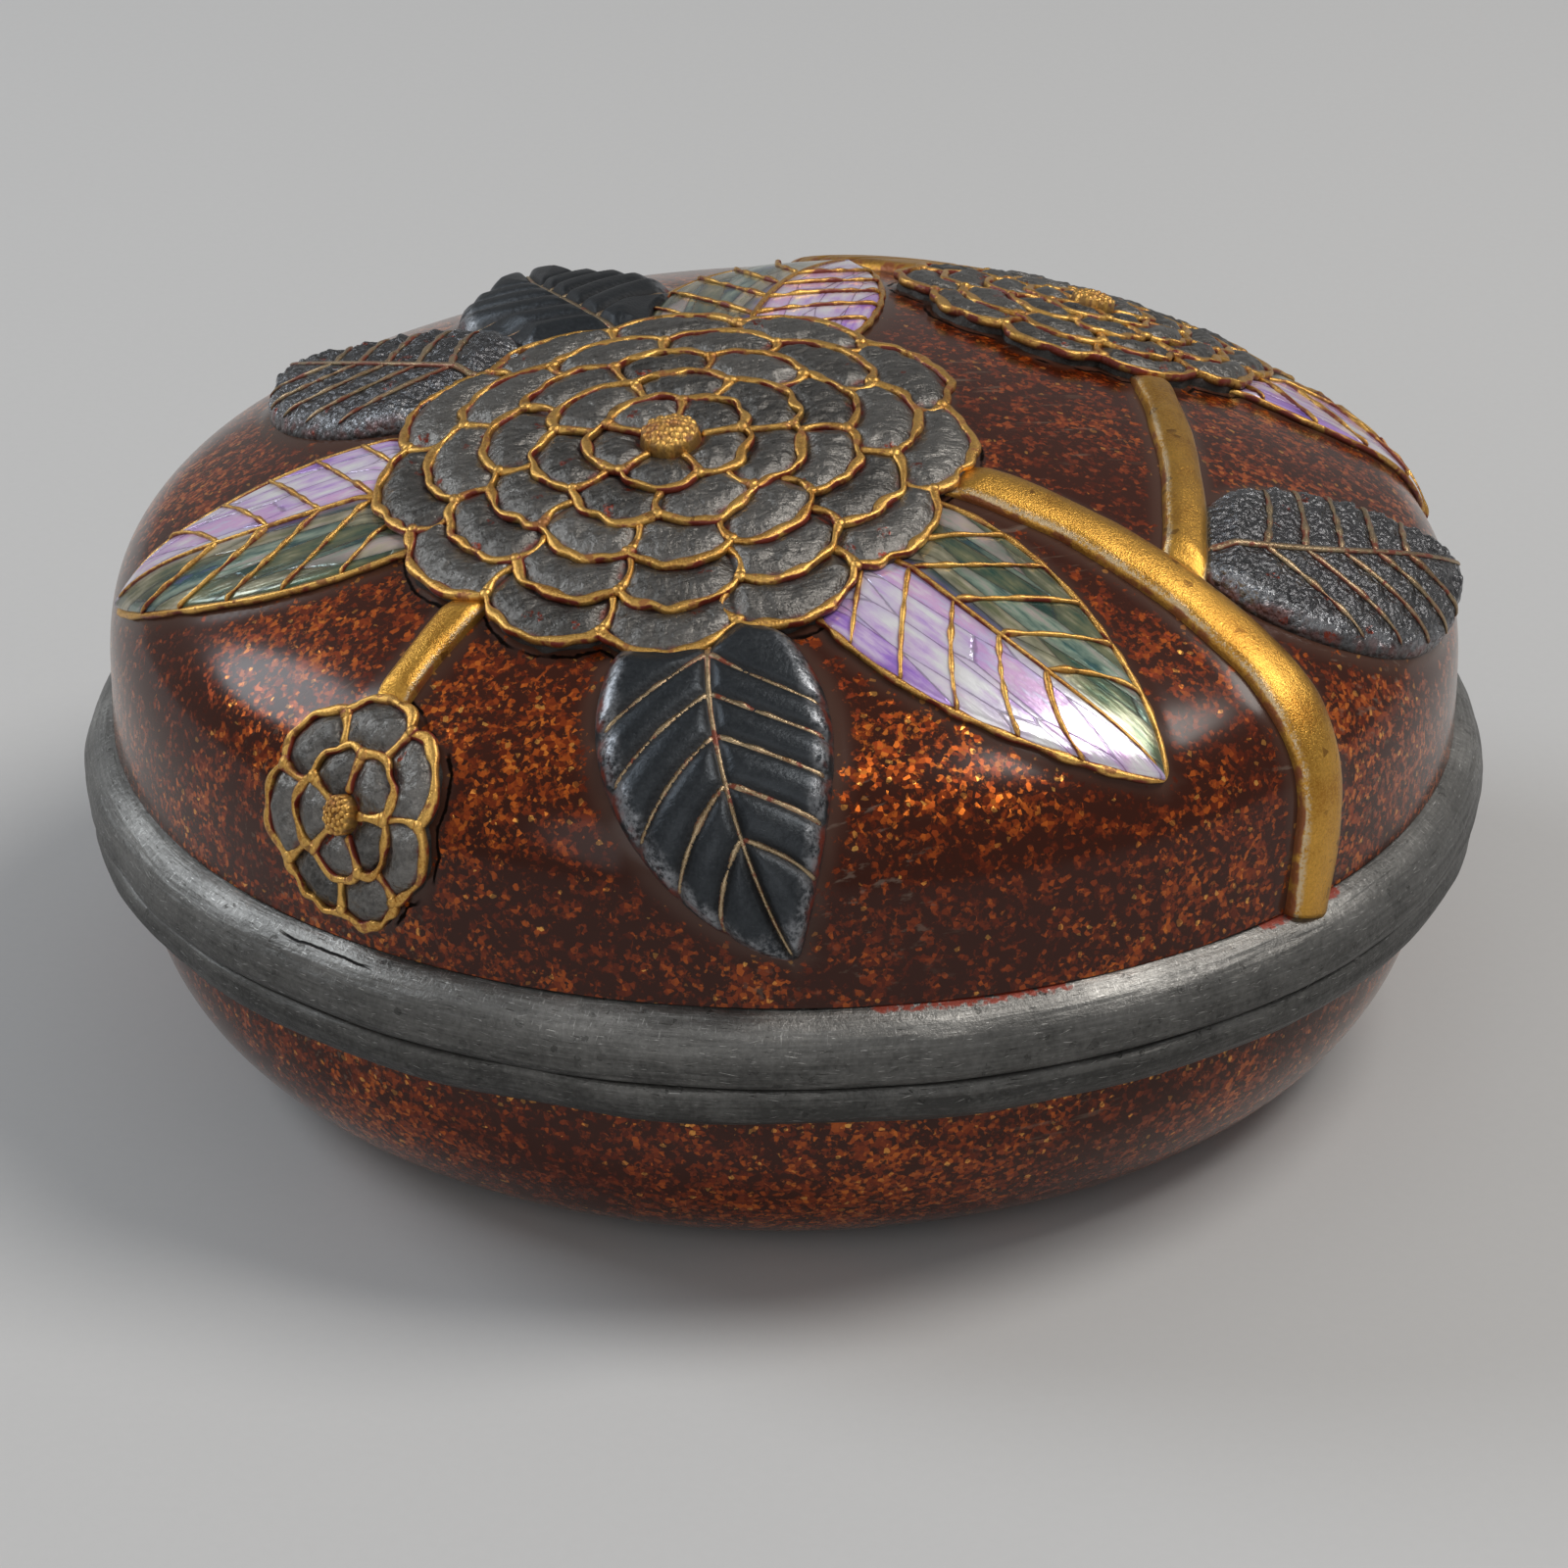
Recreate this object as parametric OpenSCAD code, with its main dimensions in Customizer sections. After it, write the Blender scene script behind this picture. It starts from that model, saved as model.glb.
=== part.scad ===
// Round lacquer incense box: a domed lid with a raised inlay spray lifts off a shallow bowl.
// Millimetres, +Z up, origin at the middle of the underside.

/* [Lid] */
// Outer radius of the lid's straight wall
lid_wall_r = 36.3; // [32:0.1:42]
// Height of the crown above the seam
lid_h = 24; // [21:0.1:30]
// Thickness of the lid's wall
lid_wall = 2.7; // [2.2:0.1:3.4]
// Height of the shoulder arc's centre above the seam
shoulder_rise = 8.7; // [7:0.1:10.5]
// Radius of the shoulder arc, between the wall and the crown
shoulder_r = 7.5; // [5:0.1:9]

/* [Bowl] */
// Height of the seam above the table
base_h = 13.8; // [12.5:0.1:18]
// How far the bowl's wall is set in from the lid's wall
bowl_setback = 1.1; // [0.8:0.1:1.4]
// Radius of the curve between the bowl's wall and its foot
bowl_curve_r = 10.5; // [8:0.1:11]
// Thickness of the bowl's floor
bowl_floor = 3.2; // [2.4:0.1:4]
// Width of the ring that the box stands on
foot_w = 4.5; // [3:0.1:8]
// Depth of the hollow inside that ring
foot_recess = 0.8; // [0.4:0.1:1.2]

/* [Rim bands] */
// Height of the lid's band
lid_band_h = 3.9; // [3.4:0.1:4.6]
// How far the lid's band stands out from the lid's wall
lid_band_proud = 1.7; // [1.2:0.1:2.4]
// Radius of the lid's band along its upper edge
lid_band_round = 2.4; // [1.8:0.1:2.7]
// Depth of the rebate that the lid's band sits in
lid_band_seat = 1.4; // [1:0.1:1.7]
// Height of the bowl's band
base_band_h = 2.5; // [2.3:0.1:3]
// How far the bowl's band stands out from the bowl's wall
base_band_proud = 2.5; // [1.8:0.1:2.8]
// Radius of the bowl's band along its lower edge
base_band_round = 1.6; // [1.2:0.1:1.7]
// Depth of the rebate that the bowl's band sits in
base_band_seat = 0.7; // [0.4:0.1:0.9]
// Radius of both bands' edges at the seam
band_edge_r = 0.4; // [0.2:0.05:0.5]

/* [Seat lip] */
// Thickness of the lip that the lid slips over
lip_wall = 1.4; // [1:0.1:2]
// Height of the lip above the seam
lip_rise = 4; // [3:0.1:6]
// Depth of the lip's rebate in the bowl
lip_depth = 3.5; // [2.6:0.1:4.5]
// Gap all round between the lip and the lid
lip_clearance = 0.25; // [0.15:0.05:0.4]

/* [Inlay] */
// Height of the pewter petals and leaves above the lacquer
pewter_h = 0.9; // [0.5:0.05:1.2]
// Height of the shell pieces above the lacquer
shell_h = 0.6; // [0.3:0.05:0.8]
// Height of the gold stems, leaf and flower hearts above the lacquer
gold_h = 0.8; // [0.4:0.05:1.1]
// Width of the gold lines
line_w = 0.5; // [0.35:0.05:0.8]
// How far the gold lines stand above the pieces they edge
line_proud = 0.15; // [0.1:0.05:0.3]
// Gap between a piece and the one that lies over it
tuck_gap = 0.1; // [0.05:0.05:0.3]

/* [Blooms] */
// Radius of the large bloom
large_bloom_r = 15.4; // [12:0.1:18]
// Radius of the large bloom's heart
large_heart_r = 1.5; // [1:0.1:2.2]
// Radius of the small bloom
small_bloom_r = 10.6; // [8:0.1:13]
// Radius of the small bloom's heart
small_heart_r = 1.2; // [0.8:0.1:1.8]
// Radius of the young bloom
young_bloom_r = 5.6; // [4.5:0.1:7]
// Radius of the young bloom's heart
young_heart_r = 0.9; // [0.6:0.1:1.4]

/* [Leaves and stems] */
// Length of a pewter leaf
pewter_leaf_len = 21; // [16:0.1:26]
// Width of a pewter leaf
pewter_leaf_w = 12; // [9:0.1:15]
// Length of a shell leaf
shell_leaf_len = 25; // [20:0.1:30]
// Width of a shell leaf
shell_leaf_w = 12; // [9:0.1:15]
// Length of the gold leaf
gold_leaf_len = 22; // [18:0.1:26]
// Width of the gold leaf
gold_leaf_w = 10.5; // [8:0.1:13]
// Width of the main stem at the rim
main_stem_w = 3.8; // [3:0.1:5]
// Width of the main stem under the large bloom
main_stem_end_w = 2.6; // [1.8:0.1:3.4]
// Width of the two twigs where they start
twig_w = 2.5; // [1.8:0.1:3.2]
// Width of the two twigs where they end
twig_end_w = 1.9; // [1.4:0.1:2.6]

/* [Hidden] */
$fn = 96;

// Colours of the finishes
lacquer_brown = "#5a2410";
pewter_grey = "#6b6c6c";
gold = "#c8963c";
shell_white = "#cfc6d8";
black_lacquer = "#1c1512";

// Lid outline: a straight wall, a shoulder arc and a crown arc tangent to it
crown_z = base_h + lid_h;
shoulder_z = base_h + shoulder_rise;
shoulder_x = lid_wall_r - shoulder_r;
shoulder_top = crown_z - shoulder_r;
crown_centre_z = (shoulder_x^2 + shoulder_z^2 - shoulder_top^2) / (2 * (shoulder_z - shoulder_top));
crown_r = crown_z - crown_centre_z;
crown_angle = atan2(shoulder_x, shoulder_z - crown_centre_z);
band_top_z = base_h + lid_band_h;

// Radii that the lid, the lip and the bowl share
lid_bore_r = lid_wall_r - lid_wall;
lip_r = lid_bore_r - lip_clearance;
lip_bore_r = lip_r - lip_wall;
bowl_wall_r = lid_wall_r - bowl_setback;
bowl_hollow_curve_r = bowl_curve_r - bowl_floor;
lip_seat_z = base_h - lip_depth;
lip_top_z = base_h + lip_rise;
lip_edge_r = lip_wall / 4;
lid_band_seat_r = lid_wall_r - lid_band_seat;
base_band_seat_r = bowl_wall_r - base_band_seat;

// The lid's face laid flat about its crown: a point's distance from the middle is its
// distance down the dome, and its direction is its azimuth. Front is -Y.
crown_len = crown_r * crown_angle * PI / 180;
shoulder_len = shoulder_r * (90 - crown_angle) * PI / 180;
face_len = crown_len + shoulder_len + shoulder_z - band_top_z;
prism_spare = 3 * pewter_h;

// Spray on the lid: places are [share of the way from the crown to the band, azimuth]
large_at = place(0.28, 244);
small_at = place(0.45, 36);
young_at = place(0.85, 234);
main_foot = place(1, -44);
large_ring_counts = [12, 11, 10, 7, 5];
small_ring_counts = [10, 9, 7, 5];
young_ring_counts = [7, 5];
ring_turn_angle = 11;
petal_fullness = 1.5;
bloom_skew_angle = 2.5;
bloom_wave_share = 0.03;
petal_steps = 8;

// Blooms: [centre, radius, heart radius, petals in each ring from the outside in]
large_bloom = [large_at, large_bloom_r, large_heart_r, large_ring_counts];
small_bloom = [small_at, small_bloom_r, small_heart_r, small_ring_counts];
young_bloom = [young_at, young_bloom_r, young_heart_r, young_ring_counts];
blooms = [large_bloom, small_bloom, young_bloom];

// Stems: [arc, width at the start, width at the end, where along it the sides are square to the lid]
main_bend_angle = 58;
small_twig_bend_angle = 24;
young_twig_bend_angle = 20;
twig_fork_share = 0.4;
leaf_fork_share = 0.1;
stem_steps = 14;
main_arc = arc_between(main_foot, large_at, main_bend_angle);
small_arc = arc_between(arc_point(main_arc, twig_fork_share), small_at, small_twig_bend_angle);
young_arc = arc_between(large_at, young_at, young_twig_bend_angle);
stems = [
    [main_arc, main_stem_w, main_stem_end_w, 0.2],
    [small_arc, twig_w, twig_end_w, 0.5],
    [young_arc, twig_w, twig_end_w, 0.5],
];

// Leaves, uppermost first: [midrib arc, width]
leaf_steps = 16;
leaf_base_power = 0.6;
leaf_tip_power = 0.85;
leaf_widest_share = leaf_base_power / (leaf_base_power + leaf_tip_power);
vein_count = 5;
vein_first_share = 0.2;
vein_last_share = 0.68;
vein_rise_share = 0.18;
vein_steps = 5;
vein_reach_share = 0.92;
leaf_end_share = 0.03;
leaves = [
    [arc(from_bloom(large_bloom, -79, 0.8), -100, pewter_leaf_len, 44), pewter_leaf_w],
    [arc(from_bloom(large_bloom, -32, 0.5), -50, shell_leaf_len, 20), shell_leaf_w],
    [arc(arc_point(small_arc, leaf_fork_share), 15, pewter_leaf_len, 40), pewter_leaf_w],
    [arc(from_bloom(large_bloom, 172, 0.5), 188, shell_leaf_len, -30), shell_leaf_w],
    [arc(from_bloom(large_bloom, 132, 0.8), 150, pewter_leaf_len, -34), pewter_leaf_w],
    [arc(from_bloom(large_bloom, 66, 0.5), 86, shell_leaf_len, -22), shell_leaf_w],
    [arc(from_bloom(large_bloom, 100, 0.8), 122, pewter_leaf_len, -26), pewter_leaf_w],
    [arc(from_bloom(small_bloom, 0, 0.05), -10, shell_leaf_len, 20), shell_leaf_w],
    [arc(from_bloom(small_bloom, 122, 0.7), 138, gold_leaf_len, -30), gold_leaf_w],
];
front_leaf = 0;
right_shell = 1;
right_leaf = 2;
left_shell = 3;
left_leaf = 4;
crown_shell = 5;
back_leaf = 6;
back_shell = 7;
top_gold = 8;

// Points on the lid's face

function place(share, azimuth) = face_len * share * [cos(azimuth), sin(azimuth)];

// Lean of the lid's surface from level, a distance s down the dome from the crown
function lean(s) =
    s < crown_len ? s / crown_r * 180 / PI
    : s < crown_len + shoulder_len ? crown_angle + (s - crown_len) / shoulder_r * 180 / PI
    : 90;

function dome_r(s) =
    s < crown_len ? crown_r * sin(lean(s)) : shoulder_x + shoulder_r * sin(lean(s));

function dome_z(s) =
    s < crown_len ? crown_centre_z + crown_r * cos(lean(s))
    : s < crown_len + shoulder_len ? shoulder_z + shoulder_r * cos(lean(s))
    : shoulder_z - (s - crown_len - shoulder_len);

// Point in space above a point of the flat face, at a height from the lacquer
function on_lid(p, height) =
    let (s = norm(p), azimuth = atan2(p[1], p[0]), r = dome_r(s) + height * sin(lean(s)))
    [r * cos(azimuth), r * sin(azimuth), dome_z(s) + height * cos(lean(s))];

// Point under a bloom, a share of its radius from its middle
function from_bloom(bloom, angle, share) = bloom[0] + share * bloom[1] * [cos(angle), sin(angle)];

// Arcs on the flat face: [start, heading at the start, length, turn along it]
function arc(start, heading, len, turn) = [start, heading, len, turn];

function arc_between(from, to, turn) =
    let (chord = to - from, half = turn / 2)
    arc(from, atan2(chord[1], chord[0]) - half, norm(chord) * half * PI / 180 / sin(half), turn);

function arc_heading(a, t) = a[1] + a[3] * t;

function arc_point(a, t) =
    let (r = a[2] / (a[3] * PI / 180), end = arc_heading(a, t))
    a[0] + r * [sin(end) - sin(a[1]), cos(a[1]) - cos(end)];

// Point beside an arc, a distance to its left
function beside(a, t, left) =
    arc_point(a, t) + left * [-sin(arc_heading(a, t)), cos(arc_heading(a, t))];

// Outlines on the flat face

function strip(a, start_w, end_w, steps, from = 0, to = 1) = [
    for (i = [0:steps]) let (u = i / steps)
        beside(a, from + (to - from) * u, (start_w + (end_w - start_w) * u) / 2),
    for (i = [steps:-1:0]) let (u = i / steps)
        beside(a, from + (to - from) * u, -(start_w + (end_w - start_w) * u) / 2),
];

function stem_outline(stem, grow) =
    strip(stem[0], stem[1] + 2 * grow, stem[2] + 2 * grow, stem_steps);

// Half-width of a leaf, a share t of the way along it
function leaf_half(leaf, t) =
    leaf[1] / 2 * (t / leaf_widest_share)^leaf_base_power
    * ((1 - t) / (1 - leaf_widest_share))^leaf_tip_power;

function leaf_point(leaf, t, across) = beside(leaf[0], t, across * leaf_half(leaf, t));

function leaf_outline(leaf, grow) =
    let (over = grow / leaf[0][2])
    [
        arc_point(leaf[0], -over),
        for (i = [1:leaf_steps - 1]) let (t = i / leaf_steps)
            beside(leaf[0], t, leaf_half(leaf, t) + grow),
        arc_point(leaf[0], 1 + over),
        for (i = [leaf_steps - 1:-1:1]) let (t = i / leaf_steps)
            beside(leaf[0], t, -leaf_half(leaf, t) - grow),
    ];

// Where side vein k meets the leaf, a share of the way along, at a share of the half-width
function vein_t(k, across) =
    vein_first_share + (vein_last_share - vein_first_share) * k / (vein_count - 1) + vein_rise_share * across;

function vein_outline(leaf, k, side) =
    let (half = line_w / 2 / leaf[0][2])
    [
        for (i = [0:vein_steps]) let (u = vein_reach_share * i / vein_steps)
            leaf_point(leaf, vein_t(k, u) - half, side * u),
        for (i = [vein_steps:-1:0]) let (u = vein_reach_share * i / vein_steps)
            leaf_point(leaf, vein_t(k, u) + half, side * u),
    ];

// Piece of shell between two side veins, short of the gold lines round it
function shell_low(k, u, half) = k == 0 ? leaf_end_share : vein_t(k - 1, u) + half;
function shell_high(k, u, half) = k == vein_count ? 1 - leaf_end_share : vein_t(k, u) - half;

function shell_outline(leaf, k, side) =
    let (
        half = line_w / 2 / leaf[0][2],
        mid = vein_t(min(k, vein_count - 1), 0),
        inner = line_w / 2 / leaf_half(leaf, mid)
    )
    [
        for (i = [0:vein_steps]) let (u = inner + (1 - inner) * i / vein_steps)
            leaf_point(leaf, shell_low(k, u, half), side * u),
        for (i = [1:vein_steps - 1]) let (v = i / vein_steps)
            leaf_point(leaf, shell_low(k, 1, half) * (1 - v) + shell_high(k, 1, half) * v, side),
        for (i = [vein_steps:-1:0]) let (u = inner + (1 - inner) * i / vein_steps)
            leaf_point(leaf, shell_high(k, u, half), side * u),
    ];

// Outer edge of a bloom's ring: overlapping round petals, as a distance from the middle
function ring_tip(bloom, ring) =
    bloom[2] + (bloom[1] - bloom[2]) * (len(bloom[3]) - ring) / len(bloom[3]);

function ring_edge(bloom, ring, angle) =
    ring == len(bloom[3]) ? bloom[2]
    : let (
        step = 360 / bloom[3][ring],
        spread = sin(step / 2),
        off = angle - ring * ring_turn_angle,
        x = off - step * round(off / step),
        tip = ring_tip(bloom, ring),
        petal = petal_fullness * tip * spread / (1 + spread),
        reach = tip - petal
    )
    reach * cos(x) + sqrt(max(0, petal^2 - (reach * sin(x))^2));

// Point of a bloom, which is drawn a little out of round
function bloom_point(bloom, angle, r) =
    let (
        turned = angle + bloom_skew_angle * sin(2 * angle),
        wide = r * (1 + bloom_wave_share * sin(3 * angle))
    )
    bloom[0] + wide * [cos(turned), sin(turned)];

function bloom_outline(bloom, grow) =
    let (steps = bloom[3][0] * petal_steps)
    [
        for (i = [0:steps - 1]) let (angle = 360 * i / steps)
            bloom_point(bloom, angle, ring_edge(bloom, 0, angle) + grow),
    ];

function petal_outline(bloom, ring, k) =
    let (
        step = 360 / bloom[3][ring],
        middle = ring * ring_turn_angle + k * step,
        mean_r = (ring_tip(bloom, ring) + ring_tip(bloom, ring + 1)) / 2,
        half = step / 2 - line_w / 2 / mean_r * 180 / PI
    )
    [
        for (i = [0:petal_steps]) let (angle = middle + half * (2 * i / petal_steps - 1))
            bloom_point(bloom, angle, ring_edge(bloom, ring, angle) - line_w / 2),
        for (i = [petal_steps:-1:0]) let (angle = middle + half * (2 * i / petal_steps - 1))
            bloom_point(bloom, angle, ring_edge(bloom, ring + 1, angle) + line_w / 2),
    ];

function petal_middle(bloom, ring, k) =
    let (angle = ring * ring_turn_angle + k * 360 / bloom[3][ring])
    bloom_point(bloom, angle, (ring_tip(bloom, ring) + ring_tip(bloom, ring + 1)) / 2);

// Shapes that the sub-parts share

// Half section of the solid dome, grown outwards or inwards, down to a height
module dome_section(grow, low_z) {
    intersection() {
        translate([0, crown_centre_z]) circle(r = crown_r + grow);
        polygon([
            [0, shoulder_z], [shoulder_x, shoulder_z],
            [shoulder_x + lid_h * sin(crown_angle), shoulder_z + lid_h * cos(crown_angle)],
            [0, crown_z + lid_h],
        ]);
    }
    intersection() {
        translate([shoulder_x, shoulder_z]) circle(r = shoulder_r + grow);
        translate([0, shoulder_z]) square([lid_wall_r + lid_h, lid_h]);
    }
    translate([0, low_z]) square([lid_wall_r + grow, shoulder_z - low_z]);
}

// Skin over the lid's face, between two heights above the lacquer
module face_layer(low, high) {
    rotate_extrude() difference() {
        dome_section(high, band_top_z);
        dome_section(low, band_top_z);
    }
}

// Prism through an outline of the flat face, its sides square to the lid at a middle point
module face_prism(outline, middle, height) {
    azimuth = atan2(middle[1], middle[0]);
    tilt = lean(norm(middle));
    centre = on_lid(middle, height);
    down = [cos(tilt) * cos(azimuth), cos(tilt) * sin(azimuth), -sin(tilt)];
    round = [-sin(azimuth), cos(azimuth), 0];
    up = cross(down, round);
    offsets = [for (p = outline) on_lid(p, height) - centre];
    low = min([for (d = offsets) d * up]) - prism_spare;
    high = max([for (d = offsets) d * up]) + prism_spare;
    translate(centre) rotate([0, tilt, azimuth]) translate([0, 0, low]) linear_extrude(high - low)
        polygon([for (d = offsets) [d * down, d * round]]);
}

// Half section of a rim band: a flat strip in its rebate, and outside it a face with rounded edges
module band_section(seat_r, wall_r, low_z, height, proud, upper_r, lower_r) {
    out_r = wall_r + proud;
    upper_z = low_z + height - upper_r;
    translate([seat_r, low_z]) square([wall_r - seat_r, height]);
    translate([seat_r, low_z + lower_r]) square([out_r - seat_r, upper_z - low_z - lower_r]);
    band_edge(seat_r, wall_r, out_r, low_z, low_z + lower_r, lower_r);
    band_edge(seat_r, wall_r, out_r, upper_z, upper_z, upper_r);
}

// One rounded edge of that face, from low_z up, about a centre at mid_z
module band_edge(seat_r, wall_r, out_r, low_z, mid_z, edge_r) {
    translate([seat_r, low_z]) square([max(wall_r, out_r - edge_r) - seat_r, edge_r]);
    intersection() {
        translate([out_r - edge_r, mid_z]) circle(r = edge_r);
        translate([seat_r, low_z]) square([out_r - seat_r, edge_r]);
    }
}

module bloom_prism(bloom, grow, height) {
    face_prism(bloom_outline(bloom, grow), bloom[0], height);
}

module stem_prism(stem, grow, height) {
    face_prism(stem_outline(stem, grow), arc_point(stem[0], stem[3]), height);
}

module leaf_prism(leaf, grow, height) {
    face_prism(leaf_outline(leaf, grow), arc_point(leaf[0], 0.5), height);
}

module all_petal_prisms(bloom) {
    for (ring = [0:len(bloom[3]) - 1], k = [0:bloom[3][ring] - 1])
        face_prism(petal_outline(bloom, ring, k), petal_middle(bloom, ring, k), pewter_h);
}

// Everything that lies over the stems, or over leaf number i
module over_stem(i) {
    for (bloom = blooms) bloom_prism(bloom, tuck_gap + line_w / 2, pewter_h);
    if (i > 0) stem_prism(stems[0], tuck_gap, gold_h);
}

module over_leaf(i) {
    for (bloom = blooms) bloom_prism(bloom, tuck_gap + line_w / 2, pewter_h);
    for (stem = stems) stem_prism(stem, tuck_gap, gold_h);
    if (i > 0) for (j = [0:i - 1]) leaf_prism(leaves[j], tuck_gap + line_w, pewter_h);
}

// Sub-parts of the base

module base_bowl() {
    color(lacquer_brown) rotate_extrude() difference() {
        union() {
            translate([0, bowl_curve_r]) square([bowl_wall_r, base_h - bowl_curve_r]);
            square([bowl_wall_r - bowl_curve_r, bowl_curve_r]);
            intersection() {
                translate([bowl_wall_r - bowl_curve_r, bowl_curve_r]) circle(r = bowl_curve_r);
                square([bowl_wall_r, bowl_curve_r]);
            }
        }
        hollow_section();
        translate([0, lip_seat_z]) square([lip_r, lip_depth + lip_rise]);
        translate([base_band_seat_r, base_h - base_band_h]) square([lid_wall_r, lid_h]);
        square([bowl_wall_r - bowl_curve_r - foot_w, foot_recess]);
    }
}

// Half section of the bowl's inside
module hollow_section() {
    curve_x = lip_bore_r - bowl_hollow_curve_r;
    curve_z = bowl_floor + bowl_hollow_curve_r;
    translate([0, curve_z]) square([lip_bore_r, base_h]);
    translate([0, bowl_floor]) square([curve_x, bowl_hollow_curve_r]);
    intersection() {
        translate([curve_x, curve_z]) circle(r = bowl_hollow_curve_r);
        translate([0, bowl_floor]) square([lip_bore_r, bowl_hollow_curve_r]);
    }
}

module base_rim_band() {
    color(pewter_grey) rotate_extrude() band_section(
        base_band_seat_r, bowl_wall_r, base_h - base_band_h, base_band_h,
        base_band_proud, band_edge_r, base_band_round);
}

module seat_lip() {
    edge_z = lip_top_z - lip_edge_r;
    color(black_lacquer) rotate_extrude() {
        translate([lip_bore_r, lip_seat_z]) square([lip_wall, edge_z - lip_seat_z]);
        translate([lip_bore_r + lip_edge_r, edge_z]) square([lip_wall - 2 * lip_edge_r, lip_edge_r]);
        for (r = [lip_bore_r + lip_edge_r, lip_r - lip_edge_r]) translate([r, edge_z]) circle(r = lip_edge_r);
    }
}

// Sub-parts of the lid

module lid_shell() {
    color(lacquer_brown) rotate_extrude() difference() {
        dome_section(0, base_h);
        dome_section(-lid_wall, 0);
        translate([lid_band_seat_r, 0]) square([lid_wall, band_top_z]);
    }
}

module lid_rim_band() {
    color(pewter_grey) rotate_extrude() band_section(
        lid_band_seat_r, lid_wall_r, base_h, lid_band_h,
        lid_band_proud, lid_band_round, band_edge_r);
}

module bloom_petals(bloom) {
    color(pewter_grey) intersection() {
        face_layer(0, pewter_h);
        all_petal_prisms(bloom);
    }
}

module bloom_lines(bloom) {
    color(gold) difference() {
        intersection() {
            face_layer(0, pewter_h + line_proud);
            bloom_prism(bloom, line_w / 2, pewter_h);
        }
        all_petal_prisms(bloom);
        heart_prism(bloom);
    }
}

module heart_prism(bloom) {
    middle = bloom[0];
    translate(on_lid(middle, 0)) rotate([0, lean(norm(middle)), atan2(middle[1], middle[0])])
        cylinder(r = bloom[2], h = 2 * prism_spare, center = true);
}

module bloom_heart(bloom) {
    color(gold) intersection() {
        face_layer(0, pewter_h + gold_h);
        heart_prism(bloom);
    }
}

module stem(i) {
    color(gold) difference() {
        intersection() {
            face_layer(0, gold_h);
            stem_prism(stems[i], 0, gold_h);
        }
        over_stem(i);
    }
}

module plain_leaf(i, height, finish) {
    color(finish) difference() {
        intersection() {
            face_layer(0, height);
            leaf_prism(leaves[i], 0, height);
        }
        over_leaf(i);
    }
}

module leaf_veins(i) {
    leaf = leaves[i];
    middle = arc_point(leaf[0], 0.5);
    midrib = strip(leaf[0], line_w, line_w / 2, leaf_steps, leaf_end_share, vein_reach_share);
    color(gold) difference() {
        intersection() {
            face_layer(pewter_h, pewter_h + line_proud);
            union() {
                face_prism(midrib, middle, pewter_h);
                for (k = [0:vein_count - 1], side = [-1, 1])
                    face_prism(vein_outline(leaf, k, side), middle, pewter_h);
            }
        }
        over_leaf(i);
    }
}

module shell_prisms(leaf) {
    for (k = [0:vein_count], side = [-1, 1])
        face_prism(shell_outline(leaf, k, side), arc_point(leaf[0], 0.5), shell_h);
}

module shell_leaf(i) {
    color(shell_white) difference() {
        intersection() {
            face_layer(0, shell_h);
            shell_prisms(leaves[i]);
        }
        over_leaf(i);
    }
}

module shell_leaf_lines(i) {
    color(gold) difference() {
        intersection() {
            face_layer(0, shell_h + line_proud);
            leaf_prism(leaves[i], line_w, shell_h);
        }
        shell_prisms(leaves[i]);
        over_leaf(i);
    }
}

base_bowl();
base_rim_band();
seat_lip();
lid_shell();
lid_rim_band();
bloom_petals(large_bloom);  // large_bloom_petals
bloom_lines(large_bloom);  // large_bloom_outline
bloom_heart(large_bloom);  // large_bloom_heart
bloom_petals(small_bloom);  // small_bloom_petals
bloom_lines(small_bloom);  // small_bloom_outline
bloom_heart(small_bloom);  // small_bloom_heart
bloom_petals(young_bloom);  // young_bloom_petals
bloom_lines(young_bloom);  // young_bloom_outline
bloom_heart(young_bloom);  // young_bloom_heart
stem(0);  // main_stem
stem(1);  // small_bloom_twig
stem(2);  // young_bloom_twig
plain_leaf(front_leaf, pewter_h, pewter_grey);  // pewter_leaf_front
leaf_veins(front_leaf);  // pewter_leaf_front_veins
plain_leaf(right_leaf, pewter_h, pewter_grey);  // pewter_leaf_right
leaf_veins(right_leaf);  // pewter_leaf_right_veins
plain_leaf(left_leaf, pewter_h, pewter_grey);  // pewter_leaf_left
leaf_veins(left_leaf);  // pewter_leaf_left_veins
plain_leaf(back_leaf, pewter_h, pewter_grey);  // pewter_leaf_back
leaf_veins(back_leaf);  // pewter_leaf_back_veins
shell_leaf(left_shell);  // shell_leaf_left
shell_leaf_lines(left_shell);  // shell_leaf_left_outline
shell_leaf(crown_shell);  // shell_leaf_crown
shell_leaf_lines(crown_shell);  // shell_leaf_crown_outline
shell_leaf(right_shell);  // shell_leaf_right
shell_leaf_lines(right_shell);  // shell_leaf_right_outline
shell_leaf(back_shell);  // shell_leaf_back
shell_leaf_lines(back_shell);  // shell_leaf_back_outline
plain_leaf(top_gold, gold_h, gold);  // gold_leaf
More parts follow.
